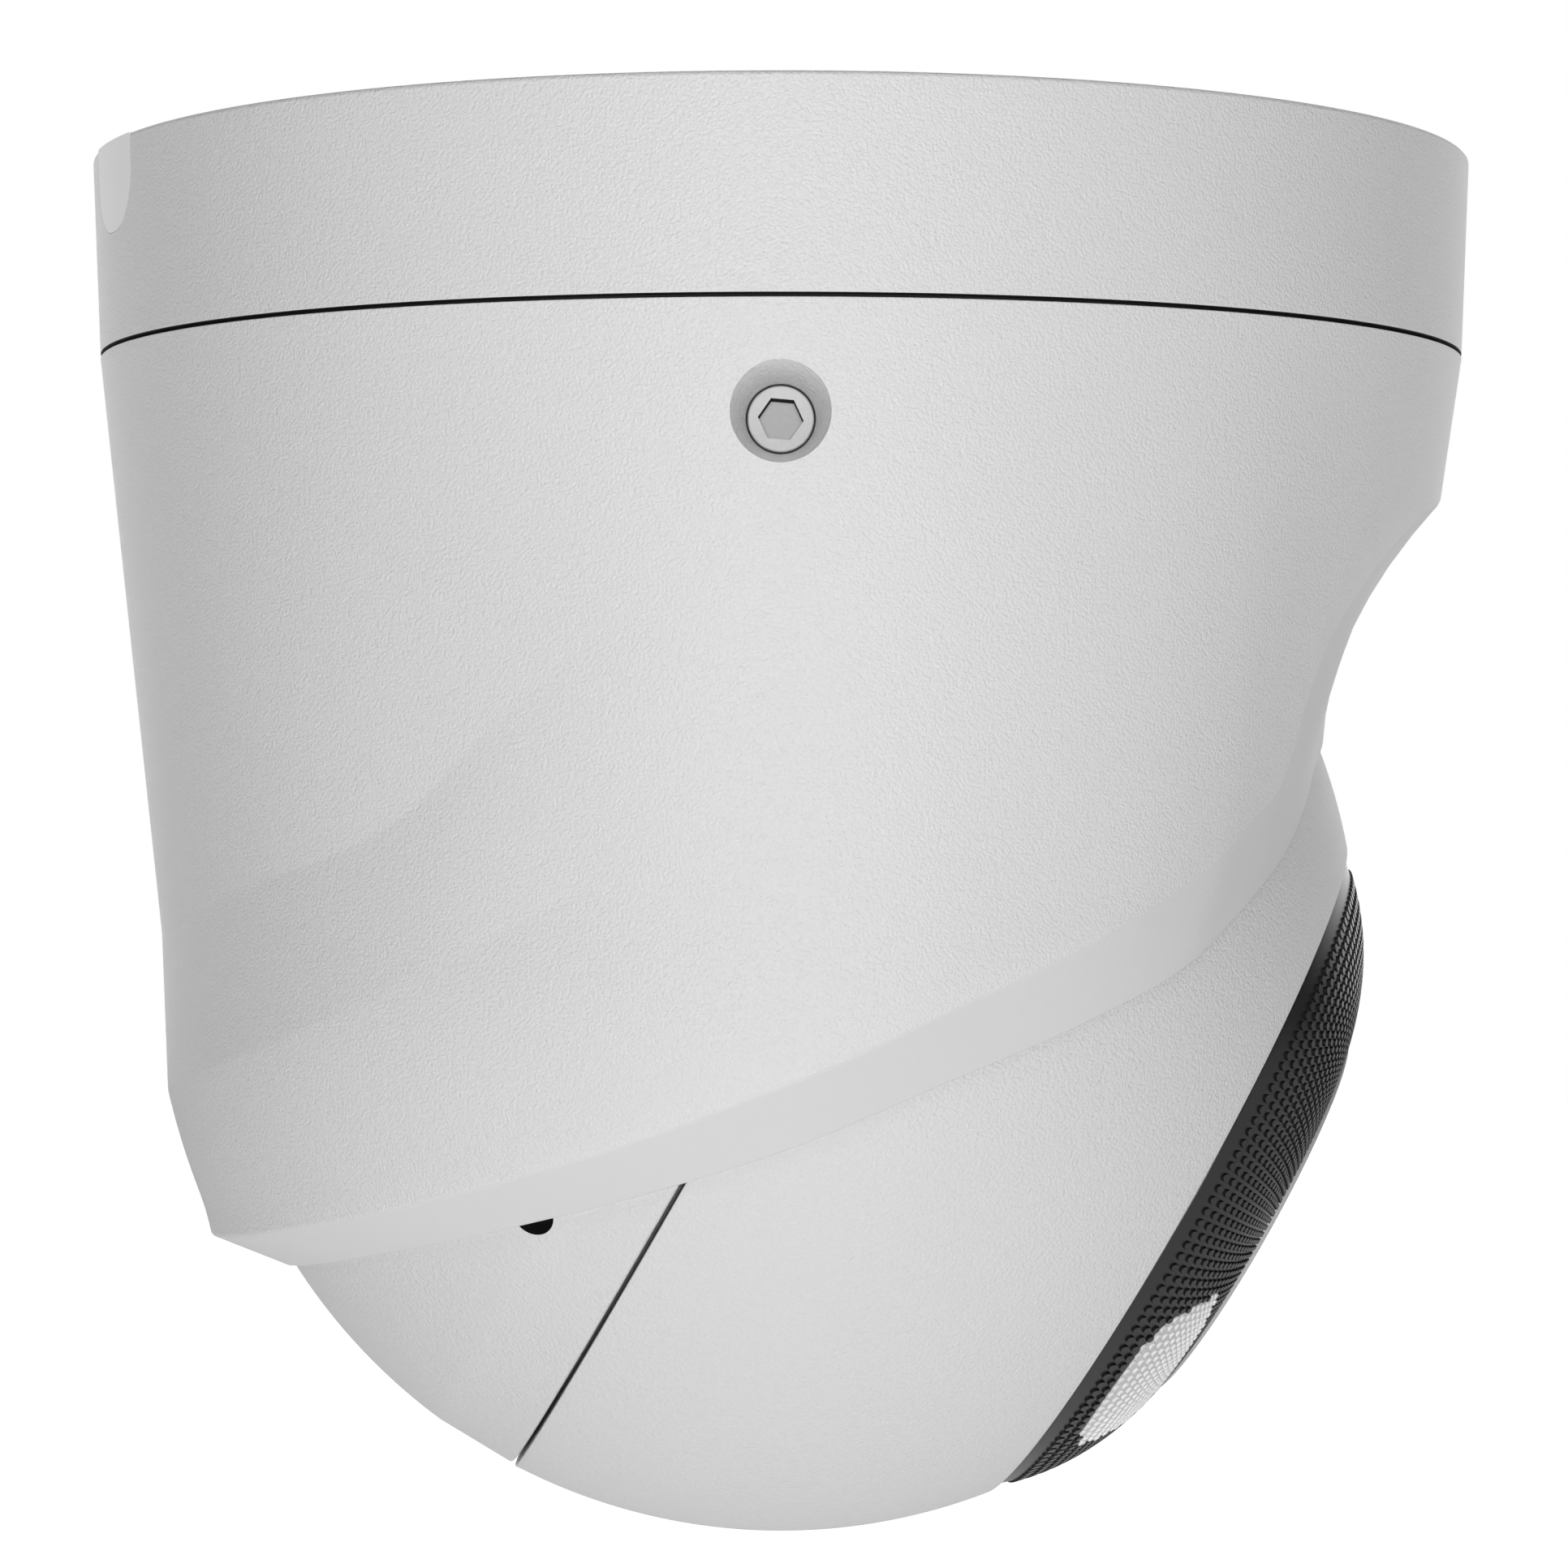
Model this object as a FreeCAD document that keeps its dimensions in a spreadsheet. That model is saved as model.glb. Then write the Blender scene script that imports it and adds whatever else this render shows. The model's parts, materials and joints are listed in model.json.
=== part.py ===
import FreeCAD, Part
import math
import os
import re
import Sketcher
from FreeCAD import Placement, Rotation, Vector

# Ceiling turret camera: a ball with the lens in it, held in the open mouth of a round shell that turns
# under a flat mounting base. Millimetres, +Z up. The origin is the centre of the face that meets the
# ceiling, and the lens side is +X. Pieces inside the ball are drawn about the ball's own centre with the
# optical axis along +X, and are then tilted down and lowered into place together.

DOC = FreeCAD.newDocument("TurretCamera")
SHEET = DOC.addObject("Spreadsheet::Sheet", "Dims")

SIZES = {
    # mounting base
    "base_radius": 60.0, "base_foot_radius": 59.4, "base_height": 16.69, "base_wall": 4.6,
    "plate_thickness": 3.5, "collar_radius": 47.0, "collar_wall": 3.5, "collar_depth": 31.0,
    "fixing_circle": 78.0, "fixing_hole_radius": 2.25, "cable_hole_radius": 13.0, "lock_groove": 2.0,
    "gasket_radius": 53.0, "gasket_width": 3.0, "gasket_depth": 1.2,
    "seal_radius": 58.4, "seal_width": 2.2, "seal_depth": 0.8, "seal_stand": 0.25,
    "grommet_wall": 3.0, "grommet_lip": 2.0, "grommet_flange": 1.45,
    "gate_width": 11.8, "gate_depth": 7.65, "gate_corner": 5.2, "gate_azimuth": 200.8,
    "fit_gap": 0.05, "spring_thickness": 0.6, "spring_reach": 5.0,
    # shell
    "seam_gap": 0.3, "shell_foot_radius": 51.63, "shell_foot_shift": 1.74, "bowl_radius": 54.86,
    "socket_radius": 50.85, "socket_allowance": 0.2, "cavity_radius": 52.6, "cavity_start": 3.0,
    "guide_radius": 47.4, "guide_top": 21.5, "guide_bottom": 30.0,
    "room_radius": 56.4, "rear_room_radius": 54.2, "rear_room_foot": 52.4, "rear_room_depth": 52.0,
    "rear_room_start": 14.0, "cutter_span": 200.0,
    # ball clamp
    "clamp_radius": 46.8, "clamp_inner": 36.0, "clamp_top": 33.4, "clamp_height": 4.8,
    "clamp_clearance": 1.8, "clamp_gate_width": 20.0, "pad_gap": 0.3, "pad_margin": 0.4, "pad_arc": 50.0,
    # lock screws
    "lock_depth": 25.6, "lock_radius": 2.575, "lock_clearance": 0.045,
    "lock_recess_radius": 2.72, "lock_recess_mouth": 3.86, "lock_recess_depth": 7.3,
    "lock_face": 51.3, "lock_tip": 46.0, "lock_tip_radius": 0.6,
    "lock_socket_flats": 3.0, "lock_socket_depth": 3.4,
    "insert_radius": 3.6, "insert_top": 51.2, "insert_bottom": 47.8,
    # ball
    "ball_radius": 50.42, "ball_depth": 68.55, "ball_wall": 2.22, "tilt": 29.3,
    "seam_back": 1.2, "seam_front": 1.55, "mouth": 38.4, "mouth_radius": 32.0, "mouth_step": 27.5,
    # cable gland on the optical axis at the back
    "gland_boss_radius": 8.0, "gland_seat_radius": 6.3, "gland_hole_radius": 4.7, "gland_back": 51.55,
    "gland_flange_radius": 6.0, "gland_flange": 3.5, "gland_stem_radius": 4.6, "gland_stem": 9.0,
    "gland_bore": 3.4, "gland_cable": 2.4, "gland_nut_radius": 7.2, "gland_nut_x": 43.95,
    # swivel between the two halves
    "swivel_back": 12.0, "swivel_inner": 41.0, "swivel_outer": 47.8, "swivel_land": 44.2,
    "seal_groove_x": 2.3, "seal_groove": 1.8, "seal_groove_radius": 42.7, "seal_cord": 0.78,
    "snap_groove_x": 5.0, "snap_groove": 1.6, "snap_groove_radius": 43.0, "snap_radius": 46.6,
    "swivel_front": 7.4, "lip_radius": 44.5, "lip_front": 4.7,
    # front window
    "face_arc": 23.0, "face_arc_x": 24.0, "face_arc_radius": 14.0, "face_wall": 2.4,
    "face_edge_radius": 31.8, "face_back": 37.2, "face_shelf": 43.4,
    "disc_radius": 17.8, "disc_front": 47.2, "disc_thickness": 2.0, "aperture_radius": 15.5,
    "light_inner": 19.3, "light_outer": 28.7, "light_span": 44.0, "light_azimuth": 38.5,
    "pane_margin": 0.08, "window_seat": 36.6, "window_seat_back": 34.6, "window_gasket": 0.55,
    # lens, sensor and filter
    "hood_x": 40.2, "hood_length": 4.6, "hood_back_radius": 9.4, "hood_front_radius": 14.5,
    "hood_wall": 1.2, "barrel_back": 23.0, "barrel_front": 42.0, "barrel_radius": 5.9,
    "barrel_head": 7.6, "barrel_step": 34.6, "front_seat": 36.4, "rear_seat": 26.2,
    "front_element_start": 36.5, "rear_element_start": 28.0, "front_element_centre": 31.2,
    "element_radius": 5.5, "element_arc": 9.0,
    "rear_element_radius": 4.1, "holder_x": 15.45, "holder_width": 22.0, "holder_foot": 6.0,
    "holder_neck_radius": 8.2, "holder_front": 32.0, "sensor_board_x": 14.2, "sensor_board_width": 34.0,
    "filter_x": 18.2, "filter_pane": 6.9, "filter_shift": 8.0, "filter_frame": 1.2,
    # boards and bracket
    "bracket_x": 11.6, "bracket_radius": 41.0, "bracket_thickness": 2.0, "bracket_circle": 37.5,
    "boss_radius": 3.2, "boss_back": 13.65, "board_x": 4.6, "board_radius": 36.0,
    "board_thickness": 1.6, "board_face": 6.22, "standoff_circle": 31.0, "standoff_radius": 2.6,
    "standoff_length": 5.35, "spreader_x": 0.24, "spreader_radius": 25.0,
    "led_board_x": 33.4, "led_board_outer": 27.0, "led_board_inner": 17.4, "led_board_thickness": 1.2,
    "led_circle": 23.2, "led_width": 3.4,
    # small fasteners
    "screw_radius": 1.2, "screw_hole_gap": 0.02, "screw_free_gap": 0.15,
    "cap_screw_x": 7.7, "cap_screw_hole": 1.8, "cap_screw_head": 1.7, "cap_screw_seat": 47.85,
    "bracket_screw_head": 2.4, "board_screw_head": 2.3,
}

for row, (alias, value) in enumerate(SIZES.items(), start=1):
    SHEET.set(f"A{row}", alias)
    SHEET.set(f"B{row}", str(value))
    SHEET.setAlias(f"B{row}", alias)
DOC.recompute()

ALONG_X = Rotation(Vector(0, 0, 1), Vector(1, 0, 0))
NODES = []


# ---------------------------------------------------------------- helpers
def linked(formula):
    """A formula in plain cell names, as an expression on the sheet."""
    return re.sub(r"[a-z]\w*", lambda m: f"Dims.{m[0]}" if m[0] in SIZES else m[0], str(formula))


def amount(formula):
    """The present value of a formula in plain cell names."""
    return float(SHEET.evalExpression(linked(formula)))


def bind(thing, **formulas):
    for name, formula in formulas.items():
        thing.setExpression(name, linked(formula))
    return thing


def put(thing, at=("0", "0", "0"), turn=Rotation()):
    """Place a solid: the turn is fixed, the position follows the sheet."""
    thing.Placement = Placement(Vector(), turn)
    for axis, formula in zip("xyz", at):
        thing.setExpression(f"Placement.Base.{axis}", linked(formula))
    return thing


def rod(radius, length, at=("0", "0", "0"), turn=ALONG_X):
    return put(bind(DOC.addObject("Part::Cylinder", "Rod"), Radius=radius, Height=length), at, turn)


def taper(radius_1, radius_2, length, at=("0", "0", "0"), turn=ALONG_X):
    cone = DOC.addObject("Part::Cone", "Taper")
    return put(bind(cone, Radius1=radius_1, Radius2=radius_2, Height=length), at, turn)


def block(size, at, turn=Rotation()):
    """A box of size (x, y, z), centred on `at` in Y and Z and starting at `at` in X."""
    box = bind(DOC.addObject("Part::Box", "Block"), Length=size[0], Width=size[1], Height=size[2])
    centred = (at[0], f"({at[1]}) - ({size[1]}) / 2", f"({at[2]}) - ({size[2]}) / 2")
    return put(box, centred, turn)


def ball(radius, at=("0", "0", "0")):
    return put(bind(DOC.addObject("Part::Sphere", "Sphere"), Radius=radius), at)


def union(*things):
    fuse = DOC.addObject("Part::MultiFuse", "Union")
    fuse.Shapes = list(things)
    return fuse


def minus(base, *tools):
    cut = DOC.addObject("Part::Cut", "Cut")
    cut.Base = base
    cut.Tool = tools[0] if len(tools) == 1 else union(*tools)
    return cut


def shared(*things):
    common = DOC.addObject("Part::MultiCommon", "Shared")
    common.Shapes = list(things)
    return common


def group(*things):
    compound = DOC.addObject("Part::Compound", "Group")
    compound.Links = list(things)
    return compound


def tube(outer, inner, start, length):
    """A ring about the optical axis, from `start` forwards."""
    return minus(rod(outer, length, (start, "0", "0")), rod(inner, length, (start, "0", "0")))


def on_circle(radius, degrees, x):
    """The point at an angle round the optical axis; 0 is -Y, the near side, and 90 is up."""
    return (x, f"-({radius}) * cos({degrees})", f"({radius}) * sin({degrees})")


def corner(point, centre):
    """A profile corner's present place. '@r' puts a coordinate on the circle of radius r about the centre."""
    known = [None if "@" in str(c) else amount(c) for c in point]
    for free in (0, 1):
        if known[free] is None:
            sign = -1 if str(point[free]).startswith("-") else 1
            reach = amount(str(point[free]).lstrip("-").lstrip("@"))
            other = known[1 - free] - centre[1 - free]
            known[free] = centre[free] + sign * math.sqrt(max(reach * reach - other * other, 0.0))
    return Vector(known[0], known[1], 0)


def turned(name, profile, about="H_Axis", centre=("0", "0")):
    """A PartDesign body: a closed profile in the XZ plane, revolved about the sketch's X or Y axis.

    Between two corners that both lie on the same '@' circle the edge is an arc about the centre."""
    body = DOC.addObject("PartDesign::Body", name)
    sketch = body.newObject("Sketcher::SketchObject", f"{name}Profile")
    plane = next(f for f in body.Origin.OriginFeatures if f.Role == "XZ_Plane")
    sketch.AttachmentSupport = [(plane, "")]
    sketch.MapMode = "FlatFace"
    middle = Vector(amount(centre[0]), amount(centre[1]), 0)
    corners = [corner(point, middle) for point in profile]
    reaches = [next((str(c).lstrip("-")[1:] for c in point if "@" in str(c)), None) for point in profile]
    starts, ends = [], []
    for i, here in enumerate(corners):
        j = (i + 1) % len(corners)
        there = corners[j]
        if reaches[i] and reaches[i] == reaches[j]:
            a, b = here - middle, there - middle
            forward = a.x * b.y - a.y * b.x > 0
            first, last = (a, b) if forward else (b, a)
            circle = Part.Circle(middle, Vector(0, 0, 1), a.Length)
            arc = Part.ArcOfCircle(circle, math.atan2(first.y, first.x), math.atan2(last.y, last.x))
            edge = sketch.addGeometry(arc, False)
            fix = sketch.addConstraint(Sketcher.Constraint("Radius", edge, a.Length))
            sketch.setExpression(f"Constraints[{fix}]", linked(reaches[i]))
            fix_point(sketch, edge, 3, centre, middle)
            starts.append((edge, 1 if forward else 2))
            ends.append((edge, 2 if forward else 1))
        else:
            edge = sketch.addGeometry(Part.LineSegment(here, there), False)
            starts.append((edge, 1))
            ends.append((edge, 2))
    for i, point in enumerate(profile):
        sketch.addConstraint(Sketcher.Constraint("Coincident", *ends[i - 1], *starts[i]))
        fix_point(sketch, *starts[i], point, corners[i])
    revolution = body.newObject("PartDesign::Revolution", f"{name}Turned")
    revolution.Profile = sketch
    revolution.ReferenceAxis = (sketch, [about])
    revolution.Angle = 360.0
    body.Tip = revolution
    sketch.Visibility = False
    return body


def fix_point(sketch, edge, end, point, place):
    """Hold a sketch point at its formulas; a coordinate on a circle is left to the arc."""
    for kind, formula, present, rule in zip(("DistanceX", "DistanceY"), point, place, (-2, -1)):
        if "@" in str(formula):
            continue
        if abs(present) < 1e-9:
            sketch.addConstraint(Sketcher.Constraint("PointOnObject", edge, end, rule))
            continue
        index = sketch.addConstraint(Sketcher.Constraint(kind, -1, 1, edge, end, present))
        sketch.setExpression(f"Constraints[{index}]", linked(formula))


def node(name, thing):
    """Hand a finished solid in under its node name."""
    thing.Label = name
    NODES.append(thing)
    return thing


def in_ball(name, thing):
    """The same for a piece of the ball: tilt it down and lower it to the ball's centre."""
    if thing.isDerivedFrom("Part::Primitive"):
        thing = group(thing)
    put(thing, ("0", "0", "-ball_depth"), Rotation(Vector(0, 1, 0), amount("tilt")))
    return node(name, thing)


# ---------------------------------------------------------------- mounting base
UPRIGHT = Rotation()


def mounting_base():
    """Die-cast ring and plate, with an inner collar that the shell turns on and hangs from."""
    inner_wall = "base_foot_radius - base_wall"
    body = turned("MountingBase", [
        ("cable_hole_radius", "0"), ("gasket_radius - gasket_width", "0"),
        ("gasket_radius - gasket_width", "-gasket_depth"), ("gasket_radius", "-gasket_depth"),
        ("gasket_radius", "0"), ("base_radius", "0"), ("base_foot_radius", "-base_height"),
        ("seal_radius", "-base_height"), ("seal_radius", "-base_height + seal_depth"),
        ("seal_radius - seal_width", "-base_height + seal_depth"),
        ("seal_radius - seal_width", "-base_height"), (inner_wall, "-base_height"),
        (inner_wall, "-plate_thickness"), ("collar_radius", "-plate_thickness"),
        ("collar_radius", "-lock_depth + lock_groove"), ("collar_radius - lock_groove", "-lock_depth"),
        ("collar_radius", "-lock_depth - lock_groove"), ("collar_radius", "-collar_depth"),
        ("collar_radius - collar_wall", "-collar_depth"),
        ("collar_radius - collar_wall", "-plate_thickness"), ("cable_hole_radius", "-plate_thickness"),
    ], about="V_Axis")
    holes = [
        rod("fixing_hole_radius", "plate_thickness",
            (f"fixing_circle / 2 * cos({angle})", f"fixing_circle / 2 * sin({angle})", "-plate_thickness"),
            UPRIGHT)
        for angle in (45, 135, 225, 315)
    ]
    node("mounting_base", minus(body, *holes, side_gate("0")))


def side_gate(margin):
    """A U-shaped gate through the rim of the base, open at the top; `margin` shrinks it all round."""
    wall = "base_wall + base_radius - base_foot_radius + 2"
    start = "base_foot_radius - base_wall - 1"
    half = f"(gate_width / 2 - {margin})"
    depth = f"(gate_depth - {margin})"
    corners = [rod("gate_corner", wall, (start, f"{side} * ({half} - gate_corner)", f"gate_corner - {depth}"))
               for side in (-1, 1)]
    sides = put(bind(DOC.addObject("Part::Box", "GateSides"), Length=wall, Width=f"2 * {half}",
                     Height=f"{depth} - gate_corner + 1"),
                (start, f"-{half}", f"gate_corner - {depth}"))
    foot = put(bind(DOC.addObject("Part::Box", "GateFoot"), Length=wall,
                    Width=f"2 * ({half} - gate_corner)", Height="gate_corner"),
               (start, f"gate_corner - {half}", f"-{depth}"))
    gate = union(*corners, sides, foot)
    gate.Placement = Placement(Vector(), Rotation(Vector(0, 0, 1), amount("gate_azimuth")))
    return gate


def base_fittings():
    """What is fitted to the base: plug, gaskets, grommet, seam seal and the spring under the collar."""
    low = ("0", "0", "-base_height")
    wall = minus(taper("base_foot_radius", "base_radius", "base_height", low, UPRIGHT),
                 rod("base_foot_radius - base_wall + 0.1", "base_height", low, UPRIGHT))
    node("side_exit_plug", shared(wall, side_gate("fit_gap")))
    node("ceiling_gasket", turned("CeilingGasket", [
        ("gasket_radius - gasket_width + 0.1", "0"), ("gasket_radius - 0.1", "0"),
        ("gasket_radius - 0.1", "-gasket_depth"), ("gasket_radius - gasket_width + 0.1", "-gasket_depth"),
    ], about="V_Axis"))
    node("cable_grommet", turned("CableGrommet", [
        ("cable_hole_radius - grommet_wall", "0"), ("cable_hole_radius - fit_gap", "0"),
        ("cable_hole_radius - fit_gap", "-plate_thickness - fit_gap"),
        ("cable_hole_radius + grommet_lip", "-plate_thickness - fit_gap"),
        ("cable_hole_radius + grommet_lip", "-plate_thickness - grommet_flange"),
        ("cable_hole_radius - grommet_wall", "-plate_thickness - grommet_flange"),
    ], about="V_Axis"))
    node("seam_seal", turned("SeamSeal", [
        ("seal_radius - 0.1", "-base_height + seal_depth"), ("seal_radius - 0.1", "-base_height - seal_stand"),
        ("seal_radius - seal_width + 0.1", "-base_height - seal_stand"),
        ("seal_radius - seal_width + 0.1", "-base_height + seal_depth"),
    ], about="V_Axis"))
    node("clamp_spring", turned("ClampSpring", [
        ("collar_radius - 0.5", "-collar_depth - fit_gap"),
        ("collar_radius - 0.5", "-collar_depth - fit_gap - spring_thickness"),
        ("collar_radius - 0.5 - spring_reach", "-clamp_top + fit_gap"),
        ("collar_radius - 0.5 - spring_reach", "-clamp_top + fit_gap + spring_thickness"),
    ], about="V_Axis"))


# ---------------------------------------------------------------- shell
# The mouth's two edges, as (azimuth from the front, height above the ball's centre) for the rim on the
# socket sphere and (azimuth, radius, height) for the outer edge of the bevel round it. Both are the same
# on the two sides, so only one side is given.
RIM = [(0, 18.6), (10, 18.1), (20, 16.3), (27, 13.1), (31, 10.7), (34, 9.1), (36, 8.0), (37.5, 7.2),
       (38.5, 6.7), (40, 5.9), (44, 3.8), (50, 0.4), (60, -3.4), (75, -8.5), (90, -13.9), (110, -19.0),
       (135, -23.4), (160, -26.2), (180, -27.3)]
BEVEL = [(57.7, 40.1), (57.5, 38.9), (56.9, 37.2), (56.4, 34.9), (55.9, 32.2), (55.4, 29.3), (54.7, 25.7),
         (53.9, 20.8), (53.2, 16.6), (53.0, 14.5), (53.4, 12.3), (54.1, 8.7), (54.7, 3.9), (54.8, -2.2),
         (54.2, -8.5), (52.8, -15.1), (51.0, -20.5), (50.1, -23.5), (49.8, -24.4)]
COVE = 2.4          # how far the bevel is hollowed at the front
COVE_END = 50.0     # azimuth where the hollow has run out
OVERSHOOT = 0.35    # how far the cutter's wall runs on past the bevel's outer edge
MOUTH_LEAN = 27.0   # how far the mouth's plane leans back from level
CUTTER_START = (8, 18)      # distance along the mouth's axis and radius of the cutter's inner end
CUTTER_END = (120, 150)     # the same for its outer end, well clear of the shell


def full_turn(points):
    """One side's points (azimuth 0 to 180) with the other side added, front point first."""
    other = [Vector(p.x, -p.y, p.z) for p in reversed(points[1:-1])]
    return points + other


def ring(points):
    """A closed smooth wire through the points, run by azimuth so that the rings line up."""
    side = [math.radians(azimuth) for azimuth, _ in RIM]
    steps = side + [2 * math.pi - a for a in reversed(side[:-1])]
    curve = Part.BSplineCurve()
    curve.interpolate(Points=full_turn(points), Parameters=steps, PeriodicFlag=True)
    return Part.Wire([curve.toShape()])


def mouth_cutter():
    """The solid that opens the shell's mouth: its wall is the rim, the hollowed bevel and clear air."""
    socket = amount("socket_radius - socket_allowance")
    rim, bevel, cove, beyond = [], [], [], []
    for (azimuth, rim_height), (edge_radius, edge_height) in zip(RIM, BEVEL):
        way = Vector(math.cos(math.radians(azimuth)), math.sin(math.radians(azimuth)), 0)
        lip = way * math.sqrt(socket ** 2 - rim_height ** 2) + Vector(0, 0, rim_height)
        edge = way * edge_radius + Vector(0, 0, edge_height)
        hollow = COVE * max(0.0, math.cos(math.radians(90.0 * azimuth / COVE_END))) if azimuth < COVE_END else 0
        middle = (lip + edge) * 0.5 - way * hollow
        rim.append(lip)
        cove.append(middle)
        bevel.append(edge)
        beyond.append(edge + (edge - middle) * OVERSHOOT)
    lean = math.radians(MOUTH_LEAN)
    outward = Vector(math.sin(lean), 0, -math.cos(lean))
    across = Vector(math.cos(lean), 0, math.sin(lean))

    def disc(distance, radius):
        return [outward * distance + across * (radius * math.cos(math.radians(a)))
                + Vector(0, radius * math.sin(math.radians(a)), 0) for a, _ in RIM]

    wires = [ring(points) for points in (disc(*CUTTER_START), rim, cove, beyond, disc(*CUTTER_END))]
    cutter = DOC.addObject("Part::Feature", "MouthCutter")
    cutter.Shape = Part.makeLoft(wires, True, True)
    cutter.Placement = Placement(Vector(0, 0, -amount("ball_depth")), Rotation())
    return cutter


def shell_outside():
    """A leaning cone from the seam down, and a bowl round the ball below it."""
    top = bind(DOC.addObject("Part::Circle", "ShellTop"), Radius="base_foot_radius")
    foot = bind(DOC.addObject("Part::Circle", "ShellFoot"), Radius="shell_foot_radius")
    put(top, ("0", "0", "-base_height - seam_gap"))
    put(foot, ("-shell_foot_shift", "0", "-ball_depth"))
    cone = DOC.addObject("Part::Loft", "ShellCone")
    cone.Sections = [top, foot]
    cone.Solid = True
    cone.Ruled = True
    bowl = ball("bowl_radius", ("0", "0", "-ball_depth"))
    above = put(bind(DOC.addObject("Part::Box", "AboveSeam"), Length="cutter_span", Width="cutter_span",
                     Height="cutter_span"),
                ("-cutter_span / 2", "-cutter_span / 2", "-base_height - seam_gap"))
    return union(cone, minus(bowl, above))


def behind_mouth(distance):
    """Everything further than `distance` behind the plane of the mouth."""
    half_space = bind(DOC.addObject("Part::Box", "BehindMouth"), Length="cutter_span", Width="cutter_span",
                      Height="cutter_span / 2")
    half = amount("cutter_span / 2")
    lean = Rotation(Vector(0, 1, 0), -MOUTH_LEAN)
    corner_place = Placement(Vector(-half, -half, amount(distance)), Rotation())
    half_space.Placement = Placement(Vector(0, 0, -amount("ball_depth")), lean).multiply(corner_place)
    return half_space


def shell_housing():
    """The shell: outside form, less its mouth, the ball's socket, the room above it and the screw holes."""
    centre = ("0", "0", "-ball_depth")
    clamp_foot = "-clamp_top - clamp_height - pad_margin"
    wide = shared(ball("cavity_radius", centre), behind_mouth("cavity_start"))
    rear_room = shared(turned("RearRoom", [
        ("0", "-guide_bottom"), ("guide_radius", "-guide_bottom"),
        ("rear_room_radius", "-guide_bottom - 2"), ("rear_room_foot", "-rear_room_depth"),
        ("0", "-rear_room_depth"),
    ], about="V_Axis"), behind_mouth("rear_room_start"))
    upper = turned("UpperRoom", [
        ("0", "-base_height + 1"), ("room_radius", "-base_height + 1"), ("room_radius", "-guide_top"),
        ("guide_radius", "-guide_top"), ("guide_radius", clamp_foot), ("0", clamp_foot),
    ], about="V_Axis")
    holes = []
    for side in (-1, 1):
        out = Rotation(Vector(0, 0, 1), Vector(0, side, 0))
        holes += [
            rod("insert_radius + fit_gap", "insert_top - guide_radius + 2",
                ("0", f"{side} * (guide_radius - 2)", "-lock_depth"), out),
            taper("lock_recess_radius", "lock_recess_mouth", "lock_recess_depth",
                  ("0", f"{side} * insert_top", "-lock_depth"), out),
        ]
    node("shell_housing", minus(shell_outside(), mouth_cutter(), ball("socket_radius", centre),
                                wide, rear_room, upper, *holes))


def shell_fittings():
    """Threaded inserts, the sprung ring that clamps the ball, and its rubber pads."""
    inserts = []
    for side in (-1, 1):
        out = Rotation(Vector(0, 0, 1), Vector(0, side, 0))
        start = ("0", f"{side} * insert_bottom", "-lock_depth")
        length = "insert_top - insert_bottom"
        inserts.append(minus(rod("insert_radius", length, start, out),
                             rod("lock_radius + lock_clearance", length, start, out)))
    node("screw_inserts", group(*inserts))

    centre = ("0", "0", "-ball_depth")
    blank = turned("ClampBlank", [
        ("clamp_inner", "-clamp_top"), ("clamp_radius", "-clamp_top"),
        ("clamp_radius", "-clamp_top - clamp_height"), ("clamp_inner", "-clamp_top - clamp_height"),
    ], about="V_Axis")
    gate = block(("clamp_radius - clamp_inner + 8", "clamp_gate_width", "4 * clamp_height"),
                 ("-clamp_radius - 4", "0", "-clamp_top"))
    node("clamp_ring", minus(blank, ball("ball_radius + clamp_clearance", centre), gate))

    pads = []
    layer = minus(ball("ball_radius + clamp_clearance - fit_gap", centre), ball("ball_radius + pad_gap", centre))
    for azimuth in (0, 115, 245):
        sector = bind(DOC.addObject("Part::Cylinder", "PadSector"), Radius="clamp_radius - 1",
                      Height="clamp_height - 2 * pad_margin", Angle="pad_arc")
        put(sector, ("0", "0", "-clamp_top - clamp_height + pad_margin"),
            Rotation(Vector(0, 0, 1), azimuth - amount("pad_arc") / 2))
        pads.append(shared(layer, sector))
    node("friction_pads", group(*pads))


def lock_screw(name, side, hex_turn):
    """A cone-point hexagon-socket set screw; `side` is -1 for the near one."""
    out = Rotation(Vector(0, 0, 1), Vector(0, side, 0))
    tip_length = "lock_radius - lock_tip_radius"
    shank = rod("lock_radius", f"lock_face - lock_tip - ({tip_length})",
                ("0", f"{side} * (lock_tip + {tip_length})", "-lock_depth"), out)
    tip = taper("lock_tip_radius", "lock_radius", tip_length, ("0", f"{side} * lock_tip", "-lock_depth"), out)
    key = bind(DOC.addObject("Part::Prism", "KeySocket"), Circumradius="lock_socket_flats / sqrt(3)",
               Height="lock_socket_depth + 1")
    key.Polygon = 6
    put(key, ("0", f"{side} * (lock_face - lock_socket_depth)", "-lock_depth"),
        out.multiply(Rotation(Vector(0, 0, 1), hex_turn)))
    node(name, minus(union(shank, tip), key))


# ---------------------------------------------------------------- ball, rear half
CAP_SCREW_ANGLES = (-32, 88, 208)


def outwards(angle):
    """Turn +Z to point away from the optical axis at an angle round it."""
    return Rotation(Vector(0, 0, 1), Vector(0, -math.cos(math.radians(angle)), math.sin(math.radians(angle))))


def radial_rod(radius, start, length, angle, x="-cap_screw_x"):
    """A rod that points away from the optical axis, from `start` outwards."""
    return rod(radius, length, on_circle(start, angle, x), outwards(angle))


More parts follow.
